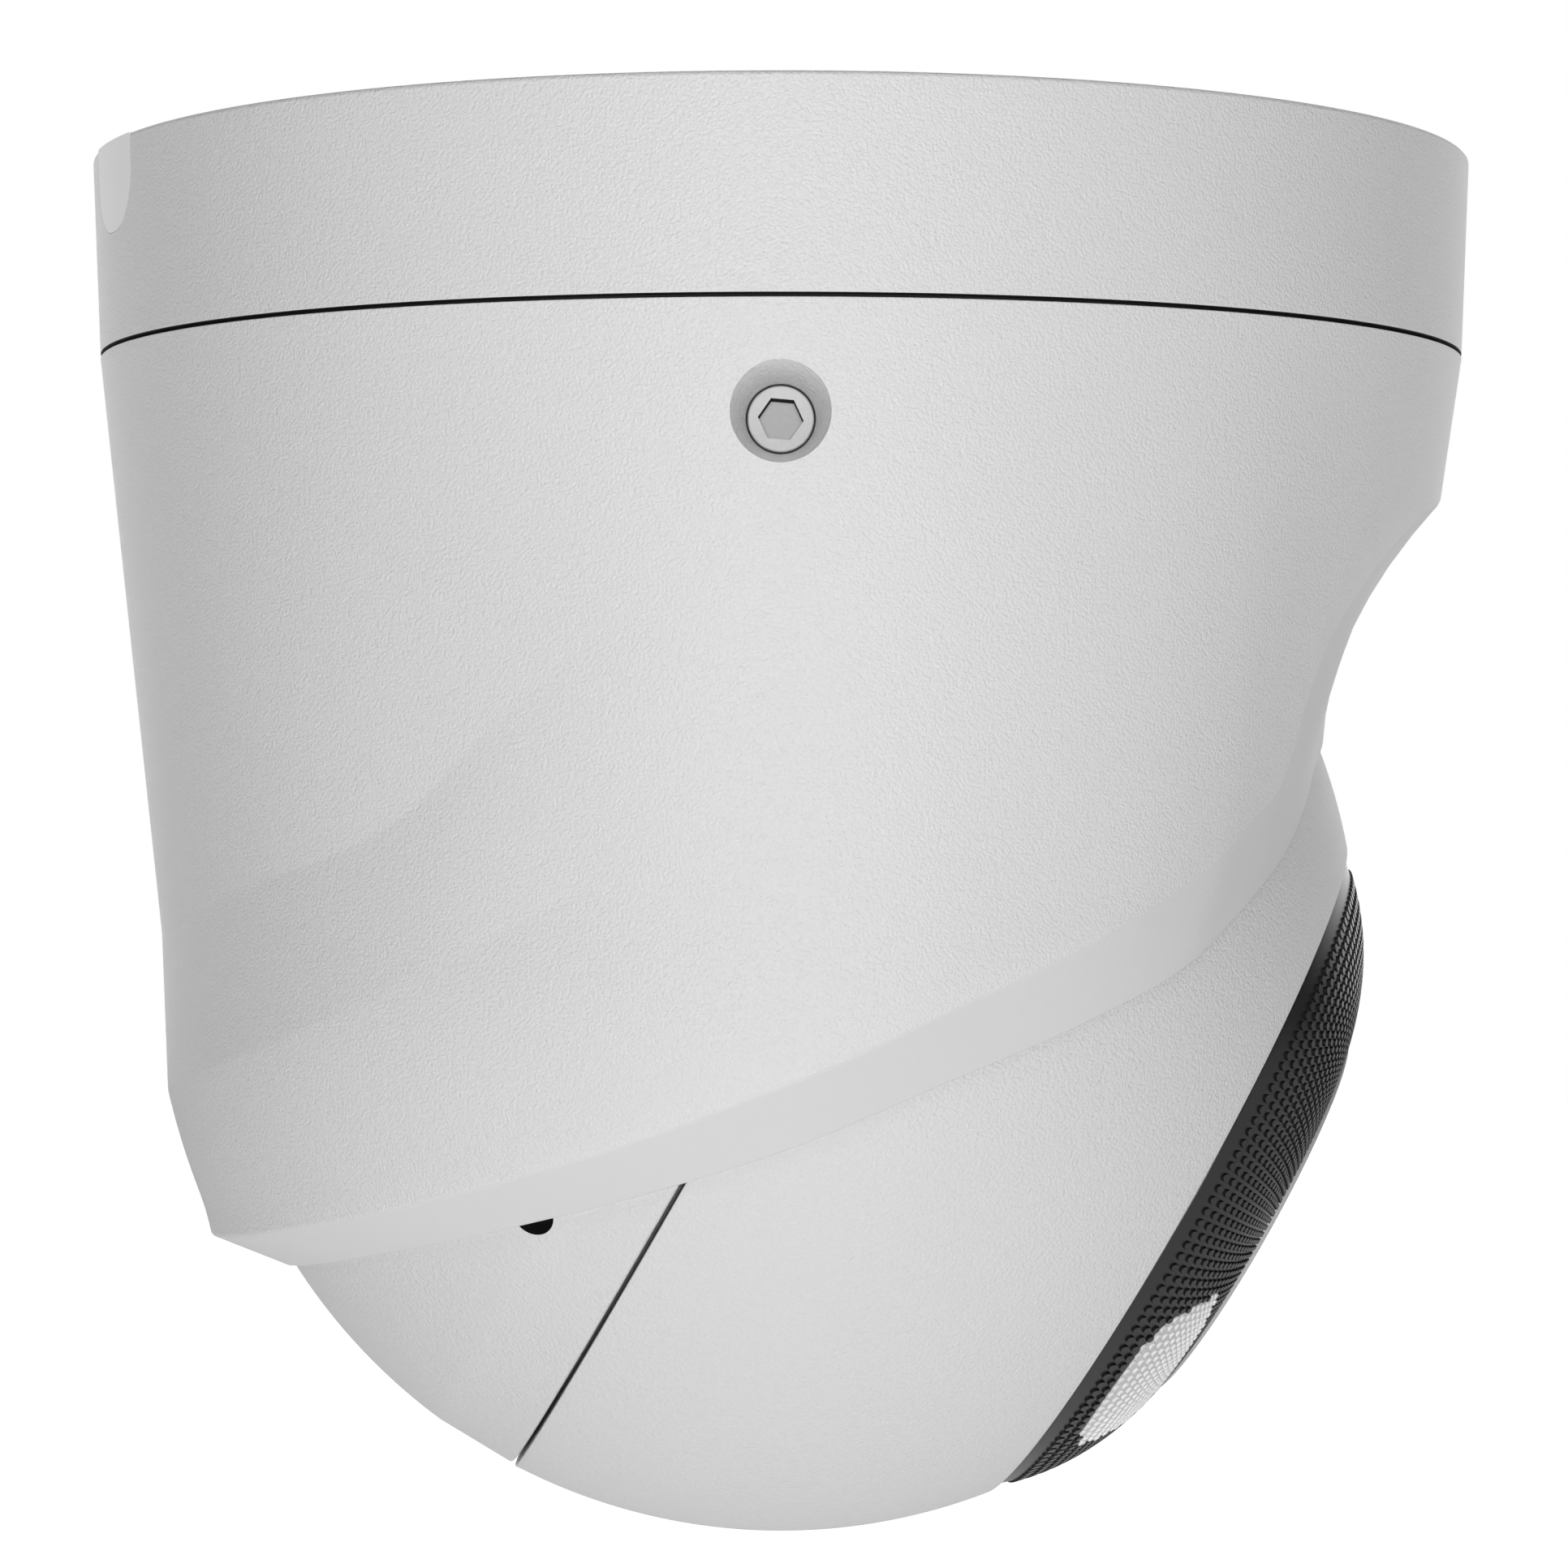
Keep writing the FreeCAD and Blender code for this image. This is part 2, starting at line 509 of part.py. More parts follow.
def ball_rear():
    """The rear cap, the ring the front half swivels on, and the cable's gland."""
    cap = turned("RearCap", [
        ("-@ball_radius", "0"), ("seam_back", "@ball_radius"), ("seam_back", "@ball_radius - ball_wall"),
        ("-@ball_radius - ball_wall", "0"),
    ])
    boss = rod("gland_boss_radius", "gland_flange + 1", ("-gland_back + 3", "0", "0"))
    seat = rod("gland_seat_radius", "gland_flange + 0.5", ("-gland_back - 0.45", "0", "0"))
    through = rod("gland_hole_radius", "gland_stem + gland_flange", ("-gland_back", "0", "0"))
    bored = [radial_rod("cap_screw_hole", "swivel_outer - cap_screw_hole", "6", angle)
             for angle in CAP_SCREW_ANGLES]
    in_ball("ball_rear_cap", minus(union(cap, boss), seat, through, *bored))

    ring_body = turned("SwivelRing", [
        ("-swivel_back", "swivel_inner"), ("-swivel_back", "snap_radius"),
        ("-swivel_back + 1.5", "swivel_outer"), ("seam_back - 0.2", "swivel_outer"),
        ("seam_back - 0.2", "swivel_land"),
        ("seal_groove_x", "swivel_land"), ("seal_groove_x", "seal_groove_radius"),
        ("seal_groove_x + seal_groove", "seal_groove_radius"),
        ("seal_groove_x + seal_groove", "swivel_land"),
        ("snap_groove_x", "swivel_land"), ("snap_groove_x", "snap_groove_radius"),
        ("snap_groove_x + snap_groove", "snap_groove_radius"), ("snap_groove_x + snap_groove", "swivel_land"),
        ("swivel_front", "swivel_land"), ("swivel_front", "swivel_inner"),
    ])
    in_ball("swivel_ring", minus(ring_body, *[
        radial_rod("screw_radius + screw_hole_gap", "swivel_inner + 1", "8", angle)
        for angle in CAP_SCREW_ANGLES]))
    split = block(("4", "7", "10"), ("snap_groove_x - 1", "0", "snap_radius - 1.6"))
    in_ball("snap_ring", minus(tube("snap_radius", "snap_groove_radius + 0.1", "snap_groove_x + fit_gap",
                                    "snap_groove - 2 * fit_gap"), split))
    seal = bind(DOC.addObject("Part::Torus", "SwivelSeal"), Radius2="seal_cord",
                Radius1="seal_groove_radius + seal_cord + 0.12")
    in_ball("swivel_seal", group(put(seal, ("seal_groove_x + seal_groove / 2", "0", "0"), ALONG_X)))

    in_ball("cap_screws", group(*[
        union(radial_rod("cap_screw_head", "cap_screw_seat", "0.8", angle),
              radial_rod("screw_radius", "swivel_inner + 1", "cap_screw_seat - swivel_inner - 0.95", angle))
        for angle in CAP_SCREW_ANGLES]))

    flange = rod("gland_flange_radius", "gland_flange", ("-gland_back", "0", "0"))
    stem = rod("gland_stem_radius", "gland_stem", ("-gland_back + gland_flange", "0", "0"))
    bore = rod("gland_bore", "gland_stem + gland_flange + 1", ("-gland_back - 0.5", "0", "0"))
    in_ball("cable_gland", minus(union(flange, stem), bore))
    in_ball("gland_seal", tube("gland_bore - fit_gap", "gland_cable", "-gland_back + 0.35", "gland_stem"))
    in_ball("gland_nut", tube("gland_nut_radius", "gland_stem_radius + fit_gap", "-gland_nut_x", "3"))


# ---------------------------------------------------------------- ball, front half
BRACKET_ANGLES = (90, 210, 330)


def ball_front():
    """The front housing with its bosses, and the black face with its windows."""
    inside = "@ball_radius - ball_wall"
    shell = turned("FrontHousing", [
        ("seam_front", "@ball_radius"), ("mouth", "@ball_radius"), ("mouth", "mouth_radius"),
        ("window_seat", "mouth_radius"), ("window_seat", "mouth_step"), ("window_seat_back", "mouth_step"),
        ("window_seat_back", inside), ("lip_front", inside), ("lip_front", "lip_radius"),
        ("seam_front", "lip_radius"),
    ])
    bosses = [shared(rod("boss_radius", "18", on_circle("bracket_circle", a, "boss_back")),
                     ball("ball_radius - 1")) for a in BRACKET_ANGLES]
    pilots = [rod("screw_radius + screw_hole_gap", "10", on_circle("bracket_circle", a, "boss_back - 0.65"))
              for a in BRACKET_ANGLES]
    in_ball("ball_front_housing", minus(union(shell, *bosses), *pilots))
    in_ball("window_gasket", tube("mouth_radius - 0.2", "mouth_step + 0.5", "window_seat + 0.02",
                                  "window_gasket"))

    shelf = "disc_front - disc_thickness - 0.2"
    face = turned("FaceBlank", [
        ("face_back", "face_edge_radius"), ("@face_arc", "face_edge_radius"),
        ("@face_arc", "disc_radius + fit_gap"), (shelf, "disc_radius + fit_gap"),
        (shelf, "aperture_radius"), ("face_shelf", "aperture_radius"),
        ("face_shelf", "@face_arc - face_wall"), ("face_back", "@face_arc - face_wall"),
    ], centre=("face_arc_x", "face_arc_radius"))
    openings, panes = [], []
    for side, label in ((-1, "light_window_near"), (1, "light_window_far")):
        openings.append(light_sector(side, "0"))
        panes.append((label, light_sector(side, "pane_margin")))
    in_ball("front_window", minus(face, *openings))
    for label, sector in panes:
        in_ball(label, shared(face, sector))

    in_ball("lens_glass", rod("disc_radius", "disc_thickness", ("disc_front - disc_thickness", "0", "0")))
    in_ball("glass_seal", tube("disc_radius - 0.2", "aperture_radius + 0.1",
                               "disc_front - disc_thickness - 0.19", "0.18"))


def light_sector(side, margin):
    """The curved slot a light window fills: a ring sector low on one side of the face."""
    # In the turned frame 0 degrees is straight down, 90 is +Y and -90 is -Y.
    angle_from = side * (90 - amount("light_azimuth")) - amount("light_span") / 2
    ring_out = bind(DOC.addObject("Part::Cylinder", "SectorOut"), Radius=f"light_outer - {margin}",
                    Height="face_arc", Angle="light_span")
    ring_in = bind(DOC.addObject("Part::Cylinder", "SectorIn"), Radius=f"light_inner + {margin}",
                   Height="face_arc", Angle=360)
    sector = minus(ring_out, ring_in)
    start = Vector(amount("face_back - 6"), 0, 0)
    sector.Placement = Placement(start, ALONG_X.multiply(Rotation(Vector(0, 0, 1), angle_from)))
    return sector


def lens_and_sensor():
    """The lens train on the optical axis, its holder, the sensor and the moving filter behind the lens."""
    at_hood = ("hood_x", "0", "0")
    in_ball("lens_hood", minus(
        taper("hood_back_radius", "hood_front_radius", "hood_length", at_hood),
        taper("hood_back_radius - hood_wall", "hood_front_radius - hood_wall", "hood_length", at_hood)))
    in_ball("lens_barrel", turned("LensBarrel", [
        ("barrel_back", "rear_element_radius - 0.5"), ("barrel_back", "barrel_radius"),
        ("barrel_step", "barrel_radius"), ("barrel_step", "barrel_head"), ("barrel_front", "barrel_head"),
        ("barrel_front", "barrel_head - 1.2"), ("barrel_front - 1.4", "element_radius + 0.1"),
        ("front_seat", "element_radius + 0.1"), ("front_seat", "rear_element_radius + 0.1"),
        ("rear_seat", "rear_element_radius + 0.1"), ("rear_seat", "rear_element_radius - 0.5"),
    ]))
    in_ball("front_element", shared(rod("element_radius", "4", ("front_element_start", "0", "0")),
                                    ball("element_arc", ("front_element_centre", "0", "0"))))
    in_ball("rear_element", rod("rear_element_radius", "5", ("rear_element_start", "0", "0")))
    in_ball("lens_lock_ring", tube("holder_neck_radius + 0.2", "barrel_radius + fit_gap",
                                   "holder_front + 0.2", "2.2"))

    foot = block(("holder_foot", "holder_width", "holder_width"), ("holder_x", "0", "0"))
    neck = rod("holder_neck_radius", "holder_front - holder_x - holder_foot + 0.05",
               ("holder_x + holder_foot - 0.05", "0", "0"))
    well = block(("2.4", "12", "10"), ("holder_x - 0.05", "0", "0"))
    slot = block(("filter_frame + 0.6", "30", "10.6"), ("filter_x - 0.3", "0", "0"))
    bore = rod("barrel_radius + fit_gap", "20", ("holder_x + 1.55", "0", "0"))
    in_ball("lens_holder", minus(union(foot, neck), well, slot, bore))
    in_ball("image_sensor", block(("1.2", "9", "7.2"), ("sensor_board_x + 1.22", "0", "0")))
    in_ball("sensor_board", block(("1.2", "sensor_board_width", "sensor_board_width"),
                                  ("sensor_board_x", "0", "0")))
    in_ball("filter_motor", block(("5", "12", "5.5"), ("holder_x + 0.15", "0", "holder_width / 2 + 2.8")))

    side_window = ("filter_x - 0.2", "-filter_shift", "0")
    window = ("2", "filter_pane + 0.1", "filter_pane + 0.1")
    frame = block(("filter_frame", "17", "10"), ("filter_x", "-filter_shift / 2", "0"))
    in_ball("filter_frame", minus(frame, block(window, ("filter_x - 0.2", "0", "0")),
                                  block(window, side_window)))
    pane = ("filter_frame / 2", "filter_pane", "filter_pane")
    in_ball("ir_cut_glass", block(pane, ("filter_x + 0.3", "0", "0")))
    in_ball("clear_glass", block(pane, ("filter_x + 0.3", "-filter_shift", "0")))


LED_ANGLES = (-29, -48, 209, 228)
STANDOFF_ANGLES = (30, 150, 270)


def headed_screw(head_radius, head, head_x, shank, shank_x, circle, angle):
    """A screw parallel to the optical axis, with its head at the back."""
    return union(rod(head_radius, head, on_circle(circle, angle, head_x)),
                 rod("screw_radius", shank, on_circle(circle, angle, shank_x)))


def boards():
    """Bracket, boards, chips and lights, stacked back from the face."""
    plate = rod("bracket_radius", "bracket_thickness", ("bracket_x", "0", "0"))
    slot = block(("4", "12", "5"), ("bracket_x - 1.1", "0", "-21.5"))
    in_ball("module_bracket", minus(plate, slot, *[
        rod("screw_radius + screw_free_gap", "4", on_circle("bracket_circle", a, "bracket_x - 0.6"))
        for a in BRACKET_ANGLES]))
    in_ball("bracket_screws", group(*[
        headed_screw("bracket_screw_head", "1.6", "bracket_x - 1.65", "11", "bracket_x - 0.1",
                     "bracket_circle", a) for a in BRACKET_ANGLES]))
    in_ball("board_standoffs", group(*[
        minus(rod("standoff_radius", "standoff_length", on_circle("standoff_circle", a, "board_face")),
              rod("screw_radius + screw_hole_gap", "standoff_length",
                  on_circle("standoff_circle", a, "board_face")))
        for a in STANDOFF_ANGLES]))
    in_ball("main_board", minus(rod("board_radius", "board_thickness", ("board_x", "0", "0")), *[
        rod("screw_radius + screw_free_gap", "4", on_circle("standoff_circle", a, "board_x - 0.6"))
        for a in STANDOFF_ANGLES]))
    in_ball("board_screws", group(*[
        headed_screw("board_screw_head", "1.4", "board_x - 1.42", "6", "board_x - 0.1", "standoff_circle", a)
        for a in STANDOFF_ANGLES]))
    in_ball("processor_chip", block(("1.5", "15", "15"), ("board_x - 1.52", "0", "2")))
    in_ball("thermal_pad", block(("0.8", "14", "14"), ("board_x - 2.34", "0", "2")))
    in_ball("heat_spreader", rod("spreader_radius", "2", ("spreader_x", "0", "0")))
    in_ball("memory_chips", group(*[
        block(("1.1", "9", "12"), ("board_face", y, "12")) for y in ("-11", "0", "11")]))
    in_ball("board_connectors", group(
        block(("3.2", "14", "4.5"), ("board_face", "0", "-21.5")),
        block(("3.2", "12", "6"), ("board_face", "-20", "-12")),
        block(("3.2", "12", "6"), ("board_face", "20", "-12"))))
    in_ball("sensor_flex", union(block(("0.2", "10", "4.8"), ("sensor_board_x + 0.5", "0", "-19.4")),
                                 block(("5.4", "10", "0.2"), ("board_face + 3.28", "0", "-21.7"))))
    in_ball("card_socket", minus(block(("1.9", "14.5", "15"), ("board_face", "23", "2")),
                                 block(("1.0", "11.2", "15"), ("board_face + 0.48", "23", "3"))))
    in_ball("memory_card", block(("0.8", "11", "15"), ("board_face + 0.58", "23", "4")))

    in_ball("led_board", tube("led_board_outer", "led_board_inner", "led_board_x", "led_board_thickness"))
    led_back = "led_board_x + led_board_thickness + 0.02"
    in_ball("leds", group(*[
        block(("1.4", "led_width", "led_width"), on_circle("led_circle", a, led_back)) for a in LED_ANGLES]))
    in_ball("led_lenses", group(*[
        taper("led_width - 1.2", "led_width", "3", on_circle("led_circle", a, f"{led_back} + 1.48"))
        for a in LED_ANGLES]))


# ---------------------------------------------------------------- build, check and write
def build():
    mounting_base()
    base_fittings()
    shell_housing()
    shell_fittings()
    lock_screw("lock_screw_near", -1, 7)
    lock_screw("lock_screw_far", 1, 20)
    ball_rear()
    ball_front()
    lens_and_sensor()
    boards()
    DOC.recompute()


def check():
    broken = [f"{o.Label}: {o.State}" for o in DOC.Objects if {"Invalid", "Error"} & set(o.State)]
    for thing in NODES:
        if thing.Shape.isNull() or not thing.Shape.isValid() or not thing.Shape.Solids:
            broken.append(f"{thing.Label}: bad shape")
    if broken:
        raise SystemExit("not written, because of " + "; ".join(broken))


def write():
    os.makedirs("parts", exist_ok=True)
    for thing in NODES:
        thing.Shape.exportStep(f"parts/{thing.Label}.step")
        print(f"{thing.Label}: {len(thing.Shape.Solids)} solids, {thing.Shape.Volume:.1f} mm3")


build()
check()
write()
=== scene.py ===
import cmath
import json
import math
import bmesh
import bpy
from mathutils import Matrix, Vector


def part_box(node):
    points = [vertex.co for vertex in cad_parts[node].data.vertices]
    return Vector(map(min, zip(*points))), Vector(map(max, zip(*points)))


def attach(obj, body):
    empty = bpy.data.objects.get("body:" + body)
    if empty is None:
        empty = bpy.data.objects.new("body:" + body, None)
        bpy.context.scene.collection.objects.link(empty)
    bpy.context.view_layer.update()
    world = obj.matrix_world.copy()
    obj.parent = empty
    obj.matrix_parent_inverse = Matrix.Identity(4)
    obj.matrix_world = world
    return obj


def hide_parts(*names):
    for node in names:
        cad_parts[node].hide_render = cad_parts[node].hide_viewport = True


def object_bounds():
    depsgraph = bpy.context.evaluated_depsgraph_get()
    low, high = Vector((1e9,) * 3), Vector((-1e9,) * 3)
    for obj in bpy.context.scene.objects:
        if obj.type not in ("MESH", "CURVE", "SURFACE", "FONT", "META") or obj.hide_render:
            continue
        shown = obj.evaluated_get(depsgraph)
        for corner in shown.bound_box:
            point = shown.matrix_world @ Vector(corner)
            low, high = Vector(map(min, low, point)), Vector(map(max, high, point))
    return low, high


# Ceiling turret camera. Metres, +Z up, lens side +X. Outlines are given in millimetres and scaled by MM.
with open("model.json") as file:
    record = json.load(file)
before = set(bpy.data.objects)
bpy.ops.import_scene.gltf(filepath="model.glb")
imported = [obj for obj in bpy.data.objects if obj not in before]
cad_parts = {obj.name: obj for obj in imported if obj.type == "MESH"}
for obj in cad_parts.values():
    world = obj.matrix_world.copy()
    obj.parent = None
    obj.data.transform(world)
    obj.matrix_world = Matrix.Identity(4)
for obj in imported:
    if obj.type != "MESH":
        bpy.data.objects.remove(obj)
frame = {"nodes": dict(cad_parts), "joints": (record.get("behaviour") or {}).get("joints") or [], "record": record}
CAD_BOX = [list(corner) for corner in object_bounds()]

MM = 0.001
ROUND = 360                     # steps round the big turned parts
JOINTS = {j["name"]: j for j in frame["joints"]}
BALL = Vector(JOINTS["tilt"]["pos_m"])
OPTICAL = Vector(JOINTS["roll"]["axis"]).normalized()
ACROSS = Vector((0, 1, 0))


def placed(origin, out, side):
    """A frame with X along `out` and Y along `side`."""
    return Matrix.Translation(origin) @ Matrix((out, side, out.cross(side))).transposed().to_4x4()


ROW = Matrix.Identity(4)
IN_BALL = placed(BALL, OPTICAL, ACROSS)

base_low, base_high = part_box("mounting_base")
shell_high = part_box("shell_housing")[1]
plug_low, plug_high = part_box("side_exit_plug")
BASE_RADIUS = base_high.x / MM
COLLAR_FOOT = base_low.z / MM
SEAM_RADIUS = shell_high.y / MM         # where the base meets the shell
SHELL_TOP = shell_high.z / MM
PLUG_MIDDLE = (plug_low + plug_high) / 2
PLUG_FOOT = plug_low.z / MM
SCREW_HEIGHT = JOINTS["lock_near_turn"]["pos_m"][2] / MM
BALL_HEIGHT = BALL.z / MM


# ---------------------------------------------------------------- curves
def through(points):
    """A smooth line through (x, y) points that never overshoots, level at both ends."""
    xs, ys = zip(*points)
    steps = [b - a for a, b in zip(xs, xs[1:])]
    rises = [(b - a) / s for a, b, s in zip(ys, ys[1:], steps)]
    slopes = [0.0]
    for before, after, s0, s1 in zip(rises, rises[1:], steps, steps[1:]):
        if before * after <= 0:
            slopes.append(0.0)
        else:
            w0, w1 = 2 * s1 + s0, s1 + 2 * s0
            slopes.append((w0 + w1) / (w0 / before + w1 / after))
    slopes.append(0.0)

    def value(x):
        x = min(max(x, xs[0]), xs[-1])
        i = max(k for k in range(len(steps)) if xs[k] <= x)
        t = (x - xs[i]) / steps[i]
        a, b = ys[i], ys[i + 1]
        return (a * (1 + 2 * t) * (1 - t) ** 2 + b * t * t * (3 - 2 * t)
                + steps[i] * (slopes[i] * t * (1 - t) ** 2 - slopes[i + 1] * t * t * (1 - t)))

    return value


def ease(t):
    """0 up to t = 0, 1 from t = 1, and a smooth rise between."""
    t = min(max(t, 0.0), 1.0)
    return t * t * (3 - 2 * t)


def arc(centre, radius, start, end, steps):
    """Points on a circle, by angle in degrees from the outline's first axis."""
    turns = [math.radians(start + (end - start) * k / steps) for k in range(steps + 1)]
    return [(centre[0] + radius * math.cos(a), centre[1] + radius * math.sin(a)) for a in turns]


def on_ball(radius, start, end, steps):
    """Points on a ball about the optical centre, between two places along its axis."""
    a, b = (math.degrees(math.acos(s / radius)) for s in (start, end))
    return arc((0, 0), radius, a, b, steps)


# ---------------------------------------------------------------- meshes
def piece(name, verts, faces, body, slot, replaces=(), place=ROW):
    """A mesh in millimetres, set in its place. Without a body it is only a tool to cut with."""
    mesh = bpy.data.meshes.new(name)
    mesh.from_pydata([place @ (Vector(v) * MM) for v in verts], [], faces)
    mesh.validate()
    obj = bpy.data.objects.new(name, mesh)
    bpy.context.scene.collection.objects.link(obj)
    outward(obj)
    if body:
        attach(obj, body)
        mesh.materials.append(FINISH[slot])
    if replaces:
        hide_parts(*replaces)
    return obj


def outward(obj):
    """Turn every face outward and shade it smooth."""
    bm = bmesh.new()
    bm.from_mesh(obj.data)
    bmesh.ops.recalc_face_normals(bm, faces=bm.faces)
    for face in bm.faces:
        face.smooth = True
    bm.to_mesh(obj.data)
    bm.free()


def skin(rings, closed=True):
    """Verts and faces of rings of equal count, joined in order; `closed` joins the last to the first."""
    count = len(rings[0])
    verts = [v for ring in rings for v in ring]
    pairs = list(zip(range(len(rings)), range(1, len(rings))))
    if closed:
        pairs.append((len(rings) - 1, 0))
    faces = [(a * count + k, a * count + (k + 1) % count, b * count + (k + 1) % count, b * count + k)
             for a, b in pairs for k in range(count)]
    return verts, faces


def end_faces(rings, count):
    """Flat faces that close the first and the last of some rings."""
    last = (rings - 1) * count
    return [tuple(range(count)), tuple(range(last, last + count))]


def soften(obj, rings, count, widest=0.5, steps=3):
    """Round the edges that run along some rings: {ring: radius in mm}."""
    weight = obj.data.attributes.new("bevel_weight_edge", "FLOAT", "EDGE")
    for edge in obj.data.edges:
        a, b = (v // count for v in edge.vertices)
        if a == b and a in rings:
            weight.data[edge.index].value = rings[a] / widest
    bevel = obj.modifiers.new("Rounding", "BEVEL")
    bevel.limit_method = "WEIGHT"
    bevel.width = widest * MM
    bevel.segments = steps
    even_shading(obj)


def even_shading(obj):
    """Let large flat faces lead the shading at rounded edges."""
    shading = obj.modifiers.new("EvenShading", "WEIGHTED_NORMAL")
    shading.keep_sharp = True


def turned(name, outline, body, slot, replaces=(), place=ROW, along=False, count=ROUND, solid=False):
    """A turned part. The outline is (radius, height) about Z, or (distance, radius) about X when `along`.
    A third number on a point rounds the edge there, and 0 leaves it sharp. `solid` closes both ends flat."""
    rings = []
    for point in outline:
        ring = []
        for k in range(count):
            a = math.tau * k / count
            if along:
                ring.append((point[0], point[1] * math.cos(a), point[1] * math.sin(a)))
            else:
                ring.append((point[0] * math.cos(a), point[0] * math.sin(a), point[1]))
        rings.append(ring)
    verts, faces = skin(rings, closed=not solid)
    if solid:
        faces += end_faces(len(rings), count)
    obj = piece(name, verts, faces, body, slot, replaces, place)
    rounded = {i: point[2] for i, point in enumerate(outline) if len(point) > 2 and point[2]}
    sharp = {i for i, point in enumerate(outline) if len(point) > 2 and not point[2]}
    for edge in obj.data.edges:
        a, b = (v // count for v in edge.vertices)
        edge.use_edge_sharp = a == b and a in sharp
    soften(obj, rounded, count)
    return obj


def cut(obj, *tools):
    """Cut tools out of a piece for good; its other modifiers act after the cut."""
    for modifier in obj.modifiers:
        modifier.show_viewport = False
    for tool in reversed(tools):
        trim = obj.modifiers.new("Cut", "BOOLEAN")
        trim.operation = "DIFFERENCE"
        trim.solver = "EXACT"
        trim.object = tool
    bpy.context.view_layer.update()
    graph = bpy.context.evaluated_depsgraph_get()
    mesh = bpy.data.meshes.new_from_object(obj.evaluated_get(graph), depsgraph=graph)
    for modifier in list(obj.modifiers):
        if modifier.type == "BOOLEAN":
            obj.modifiers.remove(modifier)
        else:
            modifier.show_viewport = True
    obj.data = mesh
    for tool in tools:
        bpy.data.objects.remove(tool)


def cutter(name, outline, place, count=64):
    """A turned solid to cut with: (distance, radius) along X."""
    rings = [[(s, r * math.cos(math.tau * k / count), r * math.sin(math.tau * k / count))
              for k in range(count)] for s, r in outline]
    verts, faces = skin(rings, closed=False)
    return piece(name, verts, faces + end_faces(len(rings), count), None, None, place=place)


def mark_sharp(obj, degrees):
    """Keep edges crisp where two faces meet at more than some angle."""
    bm = bmesh.new()
    bm.from_mesh(obj.data)
    for edge in bm.edges:
        if len(edge.link_faces) == 2 and edge.calc_face_angle(0.0) > math.radians(degrees):
            edge.smooth = False
    bm.to_mesh(obj.data)
    bm.free()


def second_finish(obj, slot, chosen):
    """Give another finish to the faces for which `chosen` holds."""
    obj.data.materials.append(FINISH[slot])
    index = len(obj.data.materials) - 1
    for polygon in obj.data.polygons:
        if chosen(polygon):
            polygon.material_index = index


# ---------------------------------------------------------------- shader groups
def new_group(name, inputs, outputs):
    """An empty shader group with named sockets: {name: (type, default)} in, {name: type} out."""
    tree = bpy.data.node_groups.new(name, "ShaderNodeTree")
    for label, (kind, value) in inputs.items():
        tree.interface.new_socket(label, in_out="INPUT", socket_type=kind).default_value = value
    for label, kind in outputs.items():
        tree.interface.new_socket(label, in_out="OUTPUT", socket_type=kind)
    return tree, tree.nodes.new("NodeGroupInput"), tree.nodes.new("NodeGroupOutput")


def fill(tree, socket, value):
    """Link a socket to another one, or give it a constant."""
    if isinstance(value, bpy.types.NodeSocket):
        tree.links.new(value, socket)
    else:
        socket.default_value = value


def add(tree, kind, **settings):
    """A node with its settings; keys that name an input socket fill that socket."""
    node = tree.nodes.new(kind)
    for key, value in settings.items():
        if hasattr(node, key) and key not in node.inputs:
            setattr(node, key, value)
        else:
            fill(tree, node.inputs[key.replace("_", " ")], value)
    return node


def number(tree, operation, a, b):
    """Arithmetic on two values or sockets."""
    node = add(tree, "ShaderNodeMath", operation=operation)
    fill(tree, node.inputs[0], a)
    fill(tree, node.inputs[1], b)
    return node.outputs[0]


def blend(tree, amount, first, second):
    """A mix of two colours."""
    node = add(tree, "ShaderNodeMix", data_type="RGBA")
    for index, value in ((0, amount), (6, first), (7, second)):
        fill(tree, node.inputs[index], value)
    return node.outputs[2]


def remap(tree, value, low_in, high_in, low_out, high_out):
    """A value carried from one range to another."""
    return add(tree, "ShaderNodeMapRange", Value=value, From_Min=low_in, From_Max=high_in,
               To_Min=low_out, To_Max=high_out).outputs[0]


def scaled(tree, vector, factor):
    """A vector or colour times a factor."""
    node = add(tree, "ShaderNodeVectorMath", operation="SCALE", Scale=factor)
    fill(tree, node.inputs[0], vector)
    return node.outputs[0]


COLOUR, VALUE, POINT = "NodeSocketColor", "NodeSocketFloat", "NodeSocketVector"


